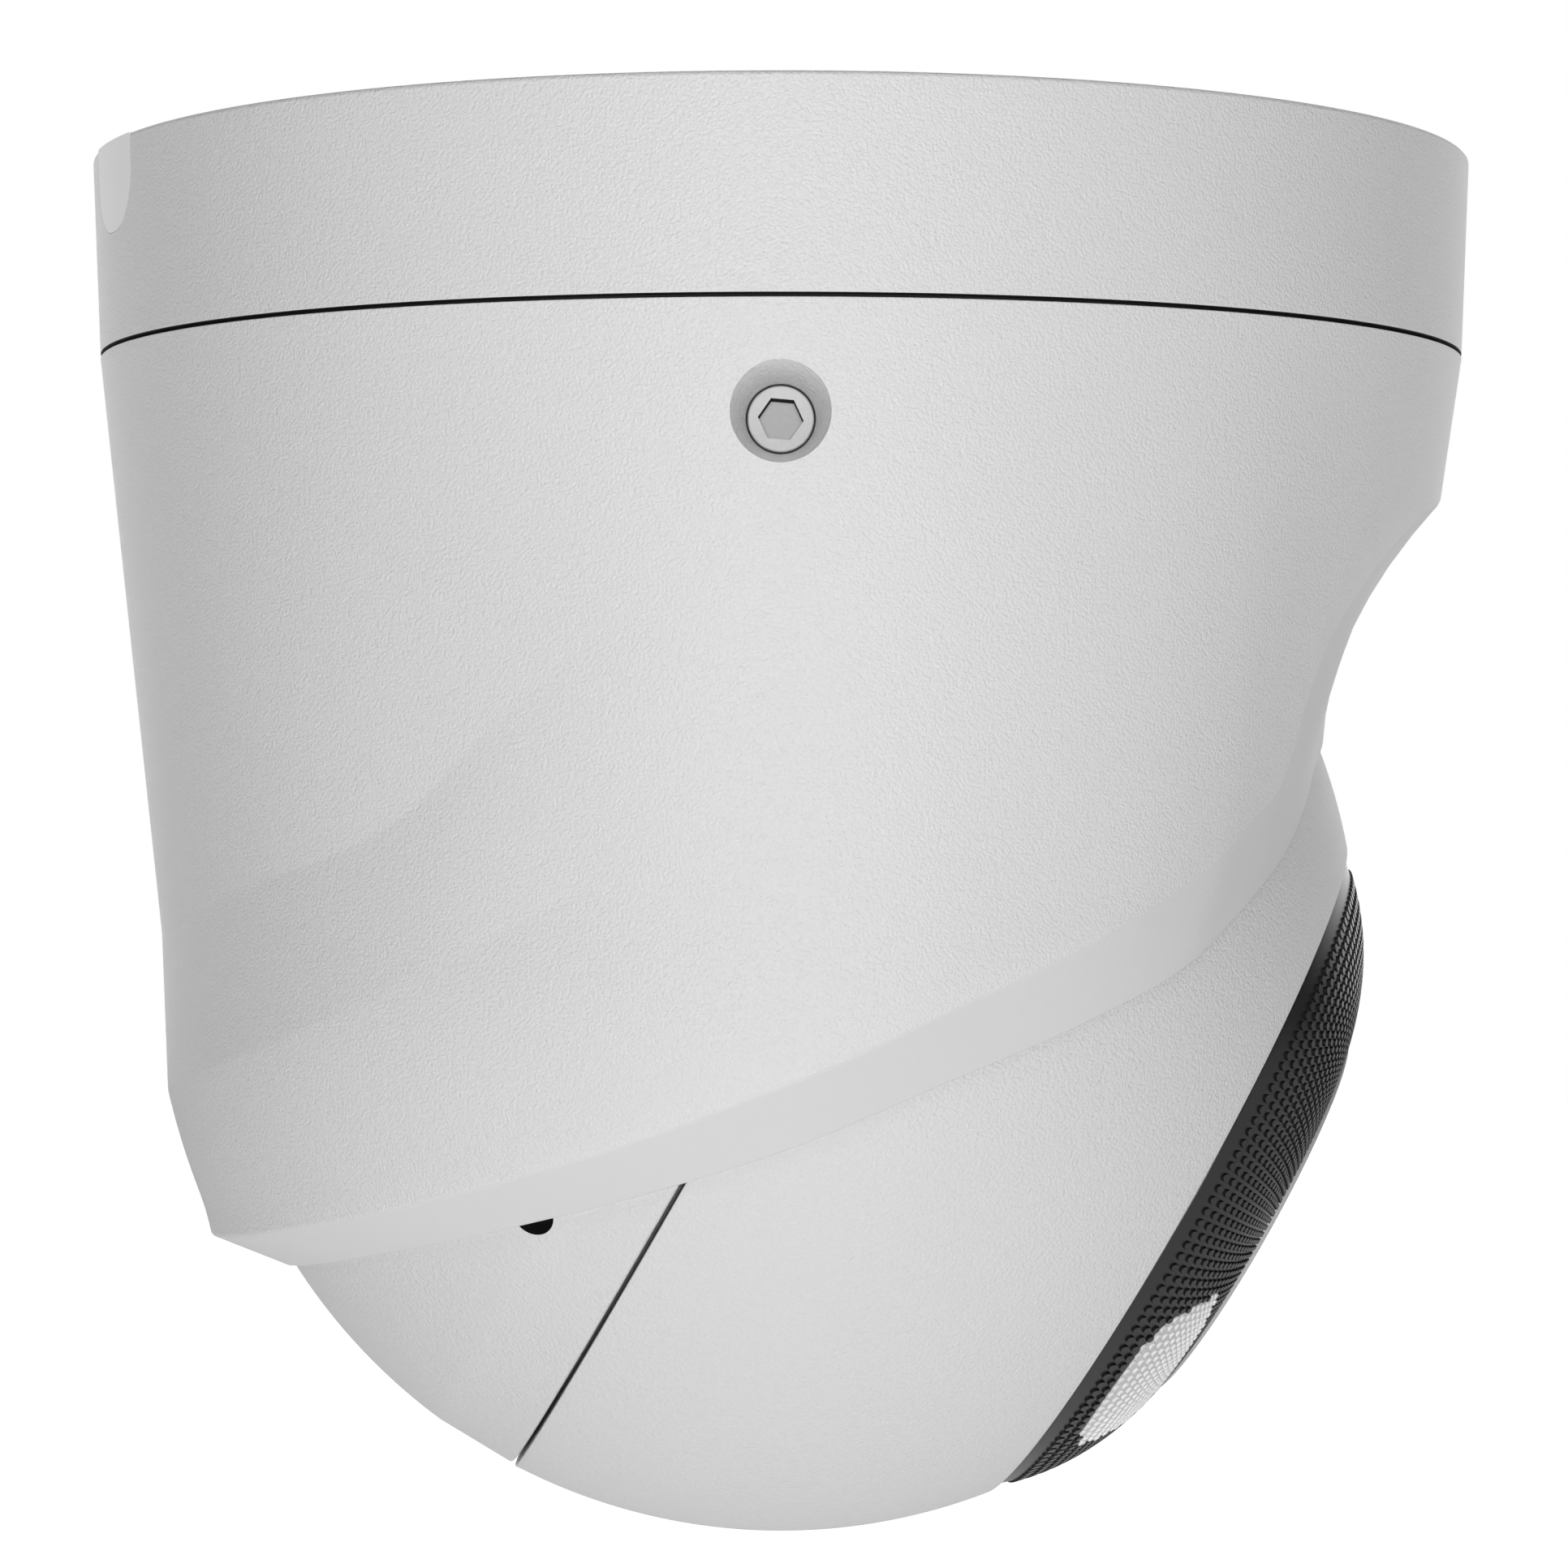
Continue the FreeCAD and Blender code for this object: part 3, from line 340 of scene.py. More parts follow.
def grain_group():
    """Texture of a sprayed or moulded skin: rounded grains, a finer tooth, slow tone drift, and painted shade in
    the hollows between grains.
    """
    tree, given, out = new_group(
        "surface_grain",
        {"Place": (POINT, (0, 0, 0)), "Colour": (COLOUR, (0.8, 0.8, 0.8, 1)), "Grain size": (VALUE, 0.0006),
         "Tooth": (VALUE, 0.4), "Tone drift and pit shade": (VALUE, 0.03), "Roughness": (VALUE, 0.5),
         "Roughness drift": (VALUE, 0.05)},
        {"Colour": COLOUR, "Roughness": VALUE, "Height": VALUE})
    place = given.outputs["Place"]
    per_metre = number(tree, "DIVIDE", 1.0, given.outputs["Grain size"])
    warp = add(tree, "ShaderNodeTexNoise", Vector=place, Scale=number(tree, "MULTIPLY", per_metre, 0.35),
               Detail=1.0)
    shift = scaled(tree, warp.outputs["Color"], number(tree, "MULTIPLY", given.outputs["Grain size"], 1.4))
    moved = add(tree, "ShaderNodeVectorMath", operation="ADD")
    fill(tree, moved.inputs[0], place)
    fill(tree, moved.inputs[1], shift)
    cells = add(tree, "ShaderNodeTexVoronoi", feature="SMOOTH_F1", Vector=moved.outputs[0], Scale=per_metre,
                Smoothness=0.55)
    fine = add(tree, "ShaderNodeTexNoise", Vector=place, Scale=number(tree, "MULTIPLY", per_metre, 2.3),
               Detail=2.0)
    slow = add(tree, "ShaderNodeTexNoise", Vector=place, Scale=40.0, Detail=3.0)
    tooth = number(tree, "MULTIPLY", fine.outputs[0], given.outputs["Tooth"])
    height = number(tree, "SUBTRACT", tooth, cells.outputs["Distance"])
    tree.links.new(height, out.inputs["Height"])
    sway = number(tree, "SUBTRACT", slow.outputs[0], 0.5)
    drift = number(tree, "MULTIPLY", sway, given.outputs["Tone drift and pit shade"])
    # Painted shade: the colour is darkened in the grain's hollows, by up to the tone drift amount.
    pit_shade = remap(tree, cells.outputs["Distance"], 0.35, 0.8, 0.0, given.outputs["Tone drift and pit shade"])
    bright = number(tree, "ADD", number(tree, "SUBTRACT", drift, pit_shade), 1.0)
    tree.links.new(scaled(tree, given.outputs["Colour"], bright), out.inputs["Colour"])
    swing = number(tree, "MULTIPLY", sway, given.outputs["Roughness drift"])
    tree.links.new(number(tree, "ADD", given.outputs["Roughness"], swing), out.inputs["Roughness"])
    return tree


def lathe_group():
    """Machined metal: fine lines round a turned face and a slight mottle."""
    tree, given, out = new_group(
        "machined_lines",
        {"Place": (POINT, (0, 0, 0)), "Colour": (COLOUR, (0.6, 0.6, 0.6, 1)),
         "Lines per metre": (VALUE, 6000.0), "Roughness": (VALUE, 0.3)},
        {"Colour": COLOUR, "Roughness": VALUE, "Height": VALUE})
    stretch = add(tree, "ShaderNodeVectorMath", operation="MULTIPLY")
    tree.links.new(given.outputs["Place"], stretch.inputs[0])
    stretch.inputs[1].default_value = (1.0, 0.06, 1.0)
    lines = add(tree, "ShaderNodeTexNoise", Vector=stretch.outputs[0], Scale=given.outputs["Lines per metre"],
                Detail=2.0)
    mottle = add(tree, "ShaderNodeTexNoise", Vector=given.outputs["Place"], Scale=300.0, Detail=3.0)
    tree.links.new(lines.outputs[0], out.inputs["Height"])
    tree.links.new(number(tree, "ADD", given.outputs["Roughness"],
                          number(tree, "MULTIPLY", lines.outputs[0], 0.12)), out.inputs["Roughness"])
    shade = remap(tree, mottle.outputs[0], 0.3, 0.7, 0.9, 1.05)
    tree.links.new(scaled(tree, given.outputs["Colour"], shade), out.inputs["Colour"])
    return tree


def track_group():
    """Circuit board: copper tracks and pads showing through the lacquer."""
    tree, given, out = new_group(
        "board_tracks",
        {"Place": (POINT, (0, 0, 0)), "Lacquer": (COLOUR, (0.01, 0.12, 0.05, 1)),
         "Copper": (COLOUR, (0.03, 0.22, 0.09, 1)), "Pitch": (VALUE, 0.0016)},
        {"Colour": COLOUR, "Height": VALUE})
    scale = number(tree, "DIVIDE", 1.0, given.outputs["Pitch"])
    cells = add(tree, "ShaderNodeTexVoronoi", distance="CHEBYCHEV", Vector=given.outputs["Place"],
                Scale=scale, Randomness=0.75)
    pads = remap(tree, cells.outputs["Distance"], 0.12, 0.16, 1.0, 0.0)
    paths = add(tree, "ShaderNodeTexVoronoi", feature="DISTANCE_TO_EDGE", Vector=given.outputs["Place"],
                Scale=number(tree, "MULTIPLY", scale, 0.55), Randomness=0.6)
    tracks = remap(tree, paths.outputs["Distance"], 0.06, 0.09, 1.0, 0.0)
    copper = number(tree, "MAXIMUM", pads, tracks)
    tree.links.new(copper, out.inputs["Height"])
    tree.links.new(blend(tree, copper, given.outputs["Lacquer"], given.outputs["Copper"]),
                   out.inputs["Colour"])
    return tree


GRAIN, LATHE, TRACKS = grain_group(), lathe_group(), track_group()


# ---------------------------------------------------------------- finishes
def blank_finish(name):
    """A new material, with its node tree, its shader and the coordinates of the piece."""
    material = bpy.data.materials.new("finish_" + name)
    material.use_nodes = True
    tree = material.node_tree
    shader = tree.nodes["Principled BSDF"]
    place = add(tree, "ShaderNodeTexCoord").outputs["Object"]
    return material, tree, shader, place


def raise_surface(tree, shader, height, depth):
    """Relief on a finish, with its depth in metres."""
    bump = add(tree, "ShaderNodeBump", Height=height, Distance=depth)
    tree.links.new(bump.outputs[0], shader.inputs["Normal"])


def set_sockets(shader, sockets):
    for label, value in sockets.items():
        shader.inputs[label.replace("_", " ")].default_value = value


def grained(name, colour, roughness, size, depth, tooth=0.4, drift=0.03, **sockets):
    """Paint, plastic, rubber or foam. Size and depth of the grain are in metres."""
    material, tree, shader, place = blank_finish(name)
    group = add(tree, "ShaderNodeGroup", node_tree=GRAIN)
    tree.links.new(place, group.inputs["Place"])
    # `drift` sets both the random tone drift and the painted shade in the grain's hollows.
    for label, value in (("Colour", (*colour, 1)), ("Grain size", size), ("Tooth", tooth),
                         ("Tone drift and pit shade", drift), ("Roughness", roughness)):
        group.inputs[label].default_value = value
    tree.links.new(group.outputs["Colour"], shader.inputs["Base Color"])
    tree.links.new(group.outputs["Roughness"], shader.inputs["Roughness"])
    raise_surface(tree, shader, group.outputs["Height"], depth)
    set_sockets(shader, sockets)
    return material


def machined(name, colour, roughness, depth=0.000004):
    """Turned or stamped metal."""
    material, tree, shader, place = blank_finish(name)
    group = add(tree, "ShaderNodeGroup", node_tree=LATHE)
    tree.links.new(place, group.inputs["Place"])
    group.inputs["Colour"].default_value = (*colour, 1)
    group.inputs["Roughness"].default_value = roughness
    tree.links.new(group.outputs["Colour"], shader.inputs["Base Color"])
    tree.links.new(group.outputs["Roughness"], shader.inputs["Roughness"])
    raise_surface(tree, shader, group.outputs["Height"], depth)
    shader.inputs["Metallic"].default_value = 1.0
    return material


def board_finish():
    """Lacquered circuit board."""
    material, tree, shader, place = blank_finish("circuit_board")
    group = add(tree, "ShaderNodeGroup", node_tree=TRACKS)
    tree.links.new(place, group.inputs["Place"])
    tree.links.new(group.outputs["Colour"], shader.inputs["Base Color"])
    raise_surface(tree, shader, group.outputs["Height"], 0.00003)
    shader.inputs["Roughness"].default_value = 0.35
    return material


def glazed(name, tint, roughness, transmission, ior=1.5, **sockets):
    """Clear glass or plastic, with the faint unevenness of a moulded or polished face."""
    material, tree, shader, place = blank_finish(name)
    ripple = add(tree, "ShaderNodeTexNoise", Vector=place, Scale=120.0, Detail=1.0)
    tree.links.new(blend(tree, ripple.outputs[0], (*[0.97 * c for c in tint], 1), (*tint, 1)),
                   shader.inputs["Base Color"])
    shader.inputs["Roughness"].default_value = roughness
    shader.inputs["Transmission Weight"].default_value = transmission
    shader.inputs["IOR"].default_value = ior
    set_sockets(shader, sockets)
    return material


def grey(level):
    return (level, level, level)


FINISH = {
    "painted_shell": grained("painted_shell", grey(0.76), 0.42, 0.00024, 0.00006, tooth=0.6, drift=0.03),
    "satin_band": grained("satin_band", grey(0.72), 0.5, 0.0003, 0.000006, tooth=0.6, drift=0.01),
    "painted_ball": grained("painted_ball", grey(0.73), 0.44, 0.00028, 0.00007, tooth=0.5, drift=0.02),
    "smooth_plug": grained("smooth_plug", grey(0.95), 0.45, 0.0002, 0.000004, drift=0.01),
    "ground_edge": grained("ground_edge", grey(0.5), 0.5, 0.0002, 0.000008, drift=0.05),
    # Light pane stud walls and edges: painted near white, a painted highlight for light seen inside the clear
    # panes.
    "pane_wall_highlight": grained("pane_wall_highlight", grey(0.95), 0.3, 0.0003, 0.000004, drift=0.02),
    # Recess walls: the shell's paint made brighter, as painted light that lifts the shade inside the recesses.
    "recess_painted_light": grained("recess_painted_light", grey(0.95), 0.5, 0.0004, 0.00018, tooth=0.6, drift=0.05),
    "deep_shadow": grained("deep_shadow", grey(0.002), 0.9, 0.0003, 0.000004),
    # Stud walls: the face's black plastic painted darker still, as painted shade at the studs' feet.
    "stud_wall_shade": grained("stud_wall_shade", grey(0.002), 0.5, 0.0002, 0.000002, drift=0.1),
    # Blackened metal for the set screw inserts, and painted shade on the cap screws seen down their bores.
    "dark_insert_and_bore_shade": machined("dark_insert_and_bore_shade", grey(0.03), 0.5),
    "black_rubber": grained("black_rubber", grey(0.008), 0.75, 0.0004, 0.00002),
    "foam": grained("foam", grey(0.03), 0.95, 0.0005, 0.0002, tooth=0.8, drift=0.3),
    "black_plastic": grained("black_plastic", grey(0.015), 0.45, 0.0003, 0.00001),
    "black_face": grained("black_face", grey(0.012), 0.3, 0.0002, 0.000003, drift=0.1),
    "chip_black": grained("chip_black", (0.02, 0.02, 0.022), 0.55, 0.00015, 0.00001),
    "connector_white": grained("connector_white", (0.75, 0.73, 0.66), 0.5, 0.0003, 0.00001),
    "thermal_grey": grained("thermal_grey", (0.35, 0.37, 0.4), 0.85, 0.0004, 0.00004),
    "flex_amber": grained("flex_amber", (0.55, 0.24, 0.04), 0.35, 0.0004, 0.000005, drift=0.1),
    "sensor_silicon": grained("sensor_silicon", (0.06, 0.07, 0.09), 0.15, 0.00008, 0.000002, Metallic=0.6),
    "spring_steel": machined("spring_steel", (0.55, 0.56, 0.58), 0.28),
    "steel": machined("steel", (0.05, 0.05, 0.055), 0.4),
    "screw_steel": grained("screw_steel", grey(0.5), 0.45, 0.0003, 0.000003, drift=0.04, Metallic=0.1),
    "brass": machined("brass", (0.72, 0.53, 0.25), 0.3),
    "aluminium": machined("aluminium", (0.66, 0.67, 0.68), 0.38),
    "circuit_board": board_finish(),
    "clear_pane": glazed("clear_pane", grey(0.6), 0.3, 0.05),
    "disc_glass": glazed("disc_glass", (0.97, 0.98, 0.98), 0.02, 1.0),
    "lens_glass": glazed("lens_glass", (0.82, 0.86, 0.95), 0.0, 1.0, 1.6, Coat_Weight=0.6,
                         Coat_Tint=(0.5, 0.6, 1, 1)),
    "clear_plastic": glazed("clear_plastic", (0.93, 0.94, 0.95), 0.08, 0.9, 1.49),
    "ir_blue": glazed("ir_blue", (0.45, 0.75, 0.9), 0.03, 0.8, 1.52),
}

for label, cad_node in frame["nodes"].items():
    for holder in cad_node.material_slots:
        # The set screw inserts are blackened; the rear cap screws are painted near black as painted shade deep in
        # their bores.
        finish = "dark_insert_and_bore_shade" if label in ("screw_inserts", "cap_screws") else holder.material.name
        holder.material = FINISH[finish]


# ---------------------------------------------------------------- base
def side_gate_tool():
    """U-shaped solid that opens the rim of the base for the plug."""
    depth, half, corner = 0.05 - PLUG_FOOT, 5.9, 5.2
    above, inside, outside = 2.0, 5.6, 2.0
    section = [(-half, above), (-half, corner - depth)]
    section += arc((corner - half, corner - depth), corner, 180, 270, 10)[1:]
    section += [(-y, z) for y, z in reversed(section)]
    turn = Matrix.Rotation(math.atan2(PLUG_MIDDLE.y, PLUG_MIDDLE.x), 4, "Z")
    rings = [[(x, y, z) for y, z in section] for x in (SEAM_RADIUS - inside, BASE_RADIUS + outside)]
    verts, faces = skin(rings, closed=False)
    return piece("gate_tool", verts, faces + end_faces(2, len(section)), None, None, place=turn)


def base():
    """The base ring with its plate, collar, cable hole and fixing holes."""
    cable_hole, plate = 13.0, -3.5
    gasket_in, gasket_out, gasket_floor = 50.0, 53.0, -1.2
    seam = SHELL_TOP + 0.3
    lip, lip_in, lip_out = seam + 0.8, 56.2, 58.4           # groove behind the seam, painted black as shade in the gap
    wall = SEAM_RADIUS - 4.6
    collar, collar_in = 47.0, 43.5
    groove, groove_depth = SCREW_HEIGHT, 2.0
    obj = turned("base_housing", [
        (cable_hole, 0, 0.3), (gasket_in, 0, 0), (gasket_in, gasket_floor, 0),
        (gasket_out, gasket_floor, 0), (gasket_out, 0, 0), (BASE_RADIUS, 0, 0.35),
        (SEAM_RADIUS, seam, 0.12), (lip_out, seam, 0), (lip_out, lip, 0), (lip_in, lip, 0),
        (lip_in, seam, 0), (wall, seam, 0.3), (wall, plate, 0.4), (collar, plate, 0.4),
        (collar, groove + groove_depth, 0), (collar - groove_depth, groove, 0),
        (collar, groove - groove_depth, 0), (collar, COLLAR_FOOT, 0.3),
        (collar_in, COLLAR_FOOT, 0.3), (collar_in, plate, 0.5), (cable_hole, plate, 0.3),
    ], "base", "painted_shell", ["mounting_base"])

    def in_seam_shade(polygon):
        reach = math.hypot(polygon.center.x, polygon.center.y) / MM
        return lip_in - 0.2 < reach < SEAM_RADIUS - 0.3 and polygon.center.z / MM < lip + 0.1

    # Painted shade: the faces in the groove behind the seam take the black rubber finish so the gap looks dark.
    second_finish(obj, "black_rubber", in_seam_shade)
    pattern = next(mount for mount in frame["record"]["mounts"] if mount["name"] == "fixing_holes")["dims"]
    radius = pattern["hole_r_mm"]
    tools = [side_gate_tool()]
    for k in range(pattern["count"]):
        angle = math.tau * (k + 0.5) / pattern["count"]
        spot = Vector((math.cos(angle), math.sin(angle), 0)) * pattern["pcd_mm"] / 2 * MM
        down = placed(spot, Vector((0, 0, -1)), ACROSS)
        tools.append(cutter(f"hole_tool{k}", [(-1, radius), (1 - plate, radius)], down))
    cut(obj, *tools)
    mark_sharp(obj, 40)


# ---------------------------------------------------------------- shell
# Edges of the mouth by azimuth from the front, with heights above the ball's centre: the rim on the socket,
# and the outer edge of the bevel as radius and height.
RIM_HEIGHT = through([(0, 18.6), (10, 18.1), (20, 16.3), (27, 13.1), (34, 9.1), (38.5, 6.7), (44, 3.8),
                      (50, 0.4), (60, -3.4), (75, -8.5), (90, -13.9), (110, -19.0), (135, -23.4),
                      (160, -26.2), (180, -27.3)])
EDGE_RADIUS = through([(0, 57.7), (10, 57.5), (20, 56.9), (27, 56.4), (31, 55.9), (34, 55.4), (36, 54.7),
                       (37.5, 53.9), (38.5, 53.2), (40, 53.0), (44, 53.4), (50, 54.1), (60, 54.7),
                       (75, 54.8), (90, 54.2), (110, 52.8), (135, 51.0), (160, 50.1), (180, 49.8)])
EDGE_HEIGHT = through([(0, 40.1), (10, 38.9), (20, 37.2), (27, 34.9), (31, 32.2), (34, 29.3), (36, 25.7),
                       (37.5, 20.8), (38.5, 16.6), (40, 14.5), (44, 12.3), (50, 8.7), (60, 3.9), (75, -2.2),
                       (90, -8.5), (110, -15.1), (135, -20.5), (160, -23.5), (180, -24.4)])
# The two creases round the back, by azimuth: the foot of the leaning cone, and the top of the bowl.
CONE_FOOT = through([(90, 30.0), (105, 25.0), (114, 18.9), (122, 12.6), (132, 8.8), (180, 1.57)])
BOWL_TOP = through([(85, 15.0), (97, 10.8), (109, 5.1), (125, -1.8), (150, -8.6), (180, -12.0)])
BOWL_RADIUS, SOCKET_RADIUS = 54.86, 50.85
CONE_LEAN, CONE_SWAY = 0.1268, 0.0212       # how fast the cone narrows, and how much faster in front
HOLLOW, HOLLOW_END = 2.4, 50.0              # depth of the front bevel's hollow, and where it has run out
BLEND = 0.3                                 # how softly the bowl runs into the wall
WALL_STEPS, BOWL_STEPS, BEVEL_STEPS = 6, 12, 8
# Points of a section: the two creases, the bevel's outer edge, and the rim.
CREASE, BOWL = WALL_STEPS, 2 * WALL_STEPS
EDGE = BOWL + BOWL_STEPS
RIM = EDGE + BEVEL_STEPS
SHELL_EDGES = {0: 0.1, CREASE: 0.3, BOWL: 0.3, EDGE: 0.4, RIM: 0.3}     # rounding in mm
# Points and azimuths where the wall runs smoothly into the bevel.
SMOOTHED, SMOOTH_FROM, SMOOTH_TO, SMOOTH_FADE, SMOOTH_ROUNDS = range(15, 31), 16, 64, 14, 14


def shell_section(azimuth):
    """One section of the shell, from the seam down the outside, round the rim and up the inside."""
    away = min(azimuth, 360 - azimuth)
    top = SHELL_TOP - BALL_HEIGHT
    edge_r, edge_h = EDGE_RADIUS(away), EDGE_HEIGHT(away)

    def chord(height):
        return edge_r + (SEAM_RADIUS - edge_r) * (height - edge_h) / (top - edge_h)

    def bowl(height):
        ball = math.sqrt(max(BOWL_RADIUS ** 2 - height ** 2, 0))
        gap = (chord(height) - ball) / BLEND
        return ball + BLEND * math.log1p(math.exp(gap)) if gap < 30 else chord(height)

    def between(start, end, steps):
        return [tuple(a + (b - a) * k / steps for a, b in zip(start, end)) for k in range(steps)]

    lean = CONE_LEAN - CONE_SWAY * math.cos(math.radians(180 - away))
    back = ease((away - 95) / 30)
    front_first, front_second = top - 0.35 * (top - edge_h), top - 0.7 * (top - edge_h)
    first = front_first + (CONE_FOOT(away) - front_first) * ease((away - 80) / 30)
    second = front_second + (BOWL_TOP(away) - front_second) * ease((away - 75) / 22)
    first_r = chord(first) + (SEAM_RADIUS - lean * (top - first) - chord(first)) * back
    points = between((SEAM_RADIUS, top), (first_r, first), WALL_STEPS)
    points += between((first_r, first), (bowl(second), second), WALL_STEPS)
    for k in range(BOWL_STEPS):
        height = second - (second - edge_h) * k / BOWL_STEPS
        points.append((bowl(height), height))

    rim_h = RIM_HEIGHT(away)
    rim_r = math.sqrt(SOCKET_RADIUS ** 2 - rim_h ** 2)
    hollow = HOLLOW * max(0.0, math.cos(math.radians(90 * away / HOLLOW_END))) if away < HOLLOW_END else 0
    pull_r, pull_h = (edge_r + rim_r) / 2 - 2 * hollow, (edge_h + rim_h) / 2
    for k in range(BEVEL_STEPS + 1):
        t = k / BEVEL_STEPS
        outer, pull, inner = (1 - t) ** 2, 2 * t * (1 - t), t * t
        points.append((outer * edge_r + pull * pull_r + inner * rim_r,
                       outer * edge_h + pull * pull_h + inner * rim_h))

    soft = 0.5 * ease((SMOOTH_TO - away) / SMOOTH_FADE) * ease((away - SMOOTH_FROM) / SMOOTH_FADE)
    for _ in range(SMOOTH_ROUNDS):
        for i in SMOOTHED:
            mean = [(a + b) / 2 for a, b in zip(points[i - 1], points[i + 1])]
            points[i] = tuple(p + soft * (m - p) for p, m in zip(points[i], mean))
    return points + shell_inside(away, rim_h, top)


def shell_inside(away, rim_h, top):
    """The inside of a section, from the rim up to the seam: socket, room round the ball, guide, upper room.
    Heights are above the ball's centre."""
    side, rear = ease((away - 60) / 25), ease((away - 110) / 20)
    cavity = SOCKET_RADIUS + 1.75 * side
    guide, guide_foot, guide_top = 47.4, 38.55, 47.05
    room, room_foot = 56.4, guide_top + 0.4
    clear_foot, clamp_foot = 29.0, 29.95
    rear_foot, rear_top, rear_low, rear_high = 52.4, 54.2, 16.55, 36.55
    ledge = 0.3
    socket = 8 - 3.5 * ease((away - 75) / 25)
    socket_steps, room_steps = 3, 8
    last = clear_foot + (rear_low - clear_foot) * rear
    start = min(rim_h + socket, last - 1)
    points = []
    for k in range(1, socket_steps + 1):
        height = rim_h + (start - rim_h) * k / socket_steps
        points.append((math.sqrt(SOCKET_RADIUS ** 2 - height ** 2), height))
    for k in range(room_steps + 1):
        height = start + ledge + (last - start - ledge) * k / room_steps
        points.append((math.sqrt(cavity ** 2 - height ** 2), height))
    step = points[-1][0] + (rear_foot - points[-1][0]) * rear
    points.append((step + 0.01, last + 0.01))
    points.append((guide + (rear_top - guide) * rear, clamp_foot + (rear_high - clamp_foot) * rear))
    return points + [(guide, guide_foot), (guide, guide_top), (room, room_foot), (room, top)]


def shell():
    """The shell with its mouth, and the two recesses for the set screws."""
    sections = [shell_section(360 * k / ROUND) for k in range(ROUND)]
    rings = [[(r * math.cos(math.tau * k / ROUND), r * math.sin(math.tau * k / ROUND), h + BALL_HEIGHT)
              for k, (r, h) in enumerate(points)] for points in zip(*sections)]
    obj = piece("shell_body", *skin(rings), "shell", "painted_shell", ["shell_housing"])
    second_finish(obj, "satin_band",
                  lambda polygon: all(EDGE <= v // ROUND <= RIM for v in polygon.vertices))
    soften(obj, SHELL_EDGES, ROUND)
    weight = obj.data.attributes["bevel_weight_edge"]
    for edge in obj.data.edges:
        ring, azimuth = divmod(edge.vertices[0], ROUND)
        if ring == EDGE and SMOOTH_FROM + 2 < min(azimuth, ROUND - azimuth) < SMOOTH_TO - 4:
            weight.data[edge.index].value = 0

    recess = [(44, 2.72), (51.2, 2.72), (58.5, 3.86), (62, 4.4)]
    middle, recess_reach = Vector((0, 0, SCREW_HEIGHT * MM)), 3.95
    places = [placed(middle, Vector((0, side, 0)), Vector((0, 0, 1))) for side in (-1, 1)]
    cut(obj, *(cutter(f"recess_tool{k}", recess, place) for k, place in enumerate(places)))

    def in_recess(polygon):
        x, _, z = polygon.center / MM
        return abs(polygon.normal.y) < 0.5 and math.hypot(x, z - SCREW_HEIGHT) < recess_reach

    # Painted light: the recess walls are brighter than the shell around them.
    second_finish(obj, "recess_painted_light", in_recess)
    mark_sharp(obj, 40)


def lock_screws():
    """The two set screws with their hexagon sockets."""
    tip, top, radius, depth = 46.0, 51.3, 2.575, 3.4
    socket = 3.08 / math.sqrt(3)                    # half the hexagon's width across its corners
    lean = math.radians(5.0)
    for side, label in ((-1, "near"), (1, "far")):
        place = placed(Vector((0, 0, SCREW_HEIGHT * MM)), Vector((0, side, 0)),
                       Vector((math.cos(lean), 0, -math.sin(lean))))
        body = f"lock_screw_{label}"
        screw = turned(f"{body}_body", [(tip, 0.6, 0.1), (tip + 2, radius, 0.1), (top, radius, 0.12)],
                       body, "screw_steel", [body], place, along=True, count=96, solid=True)
        cut(screw, cutter(f"key_tool{side + 1}", [(top - depth, socket), (top + 1, socket)], place, count=6))
        to_screw, axis = place.inverted(), place.col[0].xyz

        def in_socket(polygon):
            _, y, z = (to_screw @ polygon.center) / MM
            return math.hypot(y, z) < socket and abs(polygon.normal.dot(axis)) < 0.5

        second_finish(screw, "deep_shadow", in_socket)
        mark_sharp(screw, 30)


# ---------------------------------------------------------------- ball
# Distances along the optical axis from the ball's centre.
BALL_RADIUS, BALL_WALL = 50.42, 2.22
CAP_END, SEAM_BACK, SEAM_FRONT, MOUTH = -50.03, 1.2, 1.55, 38.4
CAP_SCREWS, CAP_SCREW_PLACE, BORE_RADIUS = (-32, 88, 208), -7.7, 1.8
FACE_EDGE, FACE_BACK, DISC_RADIUS, DISC_FRONT = 31.8, 37.2, 17.8, 47.2


def rear_cap():
    """Rear cap of the ball, with the bores of its three screws."""
    inner = BALL_RADIUS - BALL_WALL
    outline = on_ball(BALL_RADIUS, CAP_END, -6.0, 60)
    outline += [(SEAM_BACK, math.sqrt(BALL_RADIUS ** 2 - SEAM_BACK ** 2) - 0.12, 0.3),
                (SEAM_BACK, inner, 0.2)]
    outline += on_ball(inner, SEAM_BACK - 1.0, CAP_END + 2.23, 40)
    cap = turned("ball_rear_body", outline, "ball_rear", "painted_ball", ["ball_rear_cap"], IN_BALL,
                 along=True)
    bore_in, bore_out = 40, 54
    bores = []
    for angle in map(math.radians, CAP_SCREWS):
        out = IN_BALL.to_3x3() @ Vector((0, -math.cos(angle), math.sin(angle)))
        bores.append(placed(IN_BALL @ Vector((CAP_SCREW_PLACE * MM, 0, 0)), out.normalized(), OPTICAL))
    cut(cap, *(cutter(f"bore_tool{k}", [(bore_in, BORE_RADIUS), (bore_out, BORE_RADIUS)], bore)
               for k, bore in enumerate(bores)))

    def in_bore(polygon):
        for bore in bores:
            along, y, z = (bore.inverted() @ polygon.center) / MM
            across_bore = abs(polygon.normal.dot(bore.col[0].xyz)) < 0.5
            if along > bore_in and math.hypot(y, z) < BORE_RADIUS + 0.05 and across_bore:
                return True
        return False

    second_finish(cap, "deep_shadow", in_bore)
    mark_sharp(cap, 40)


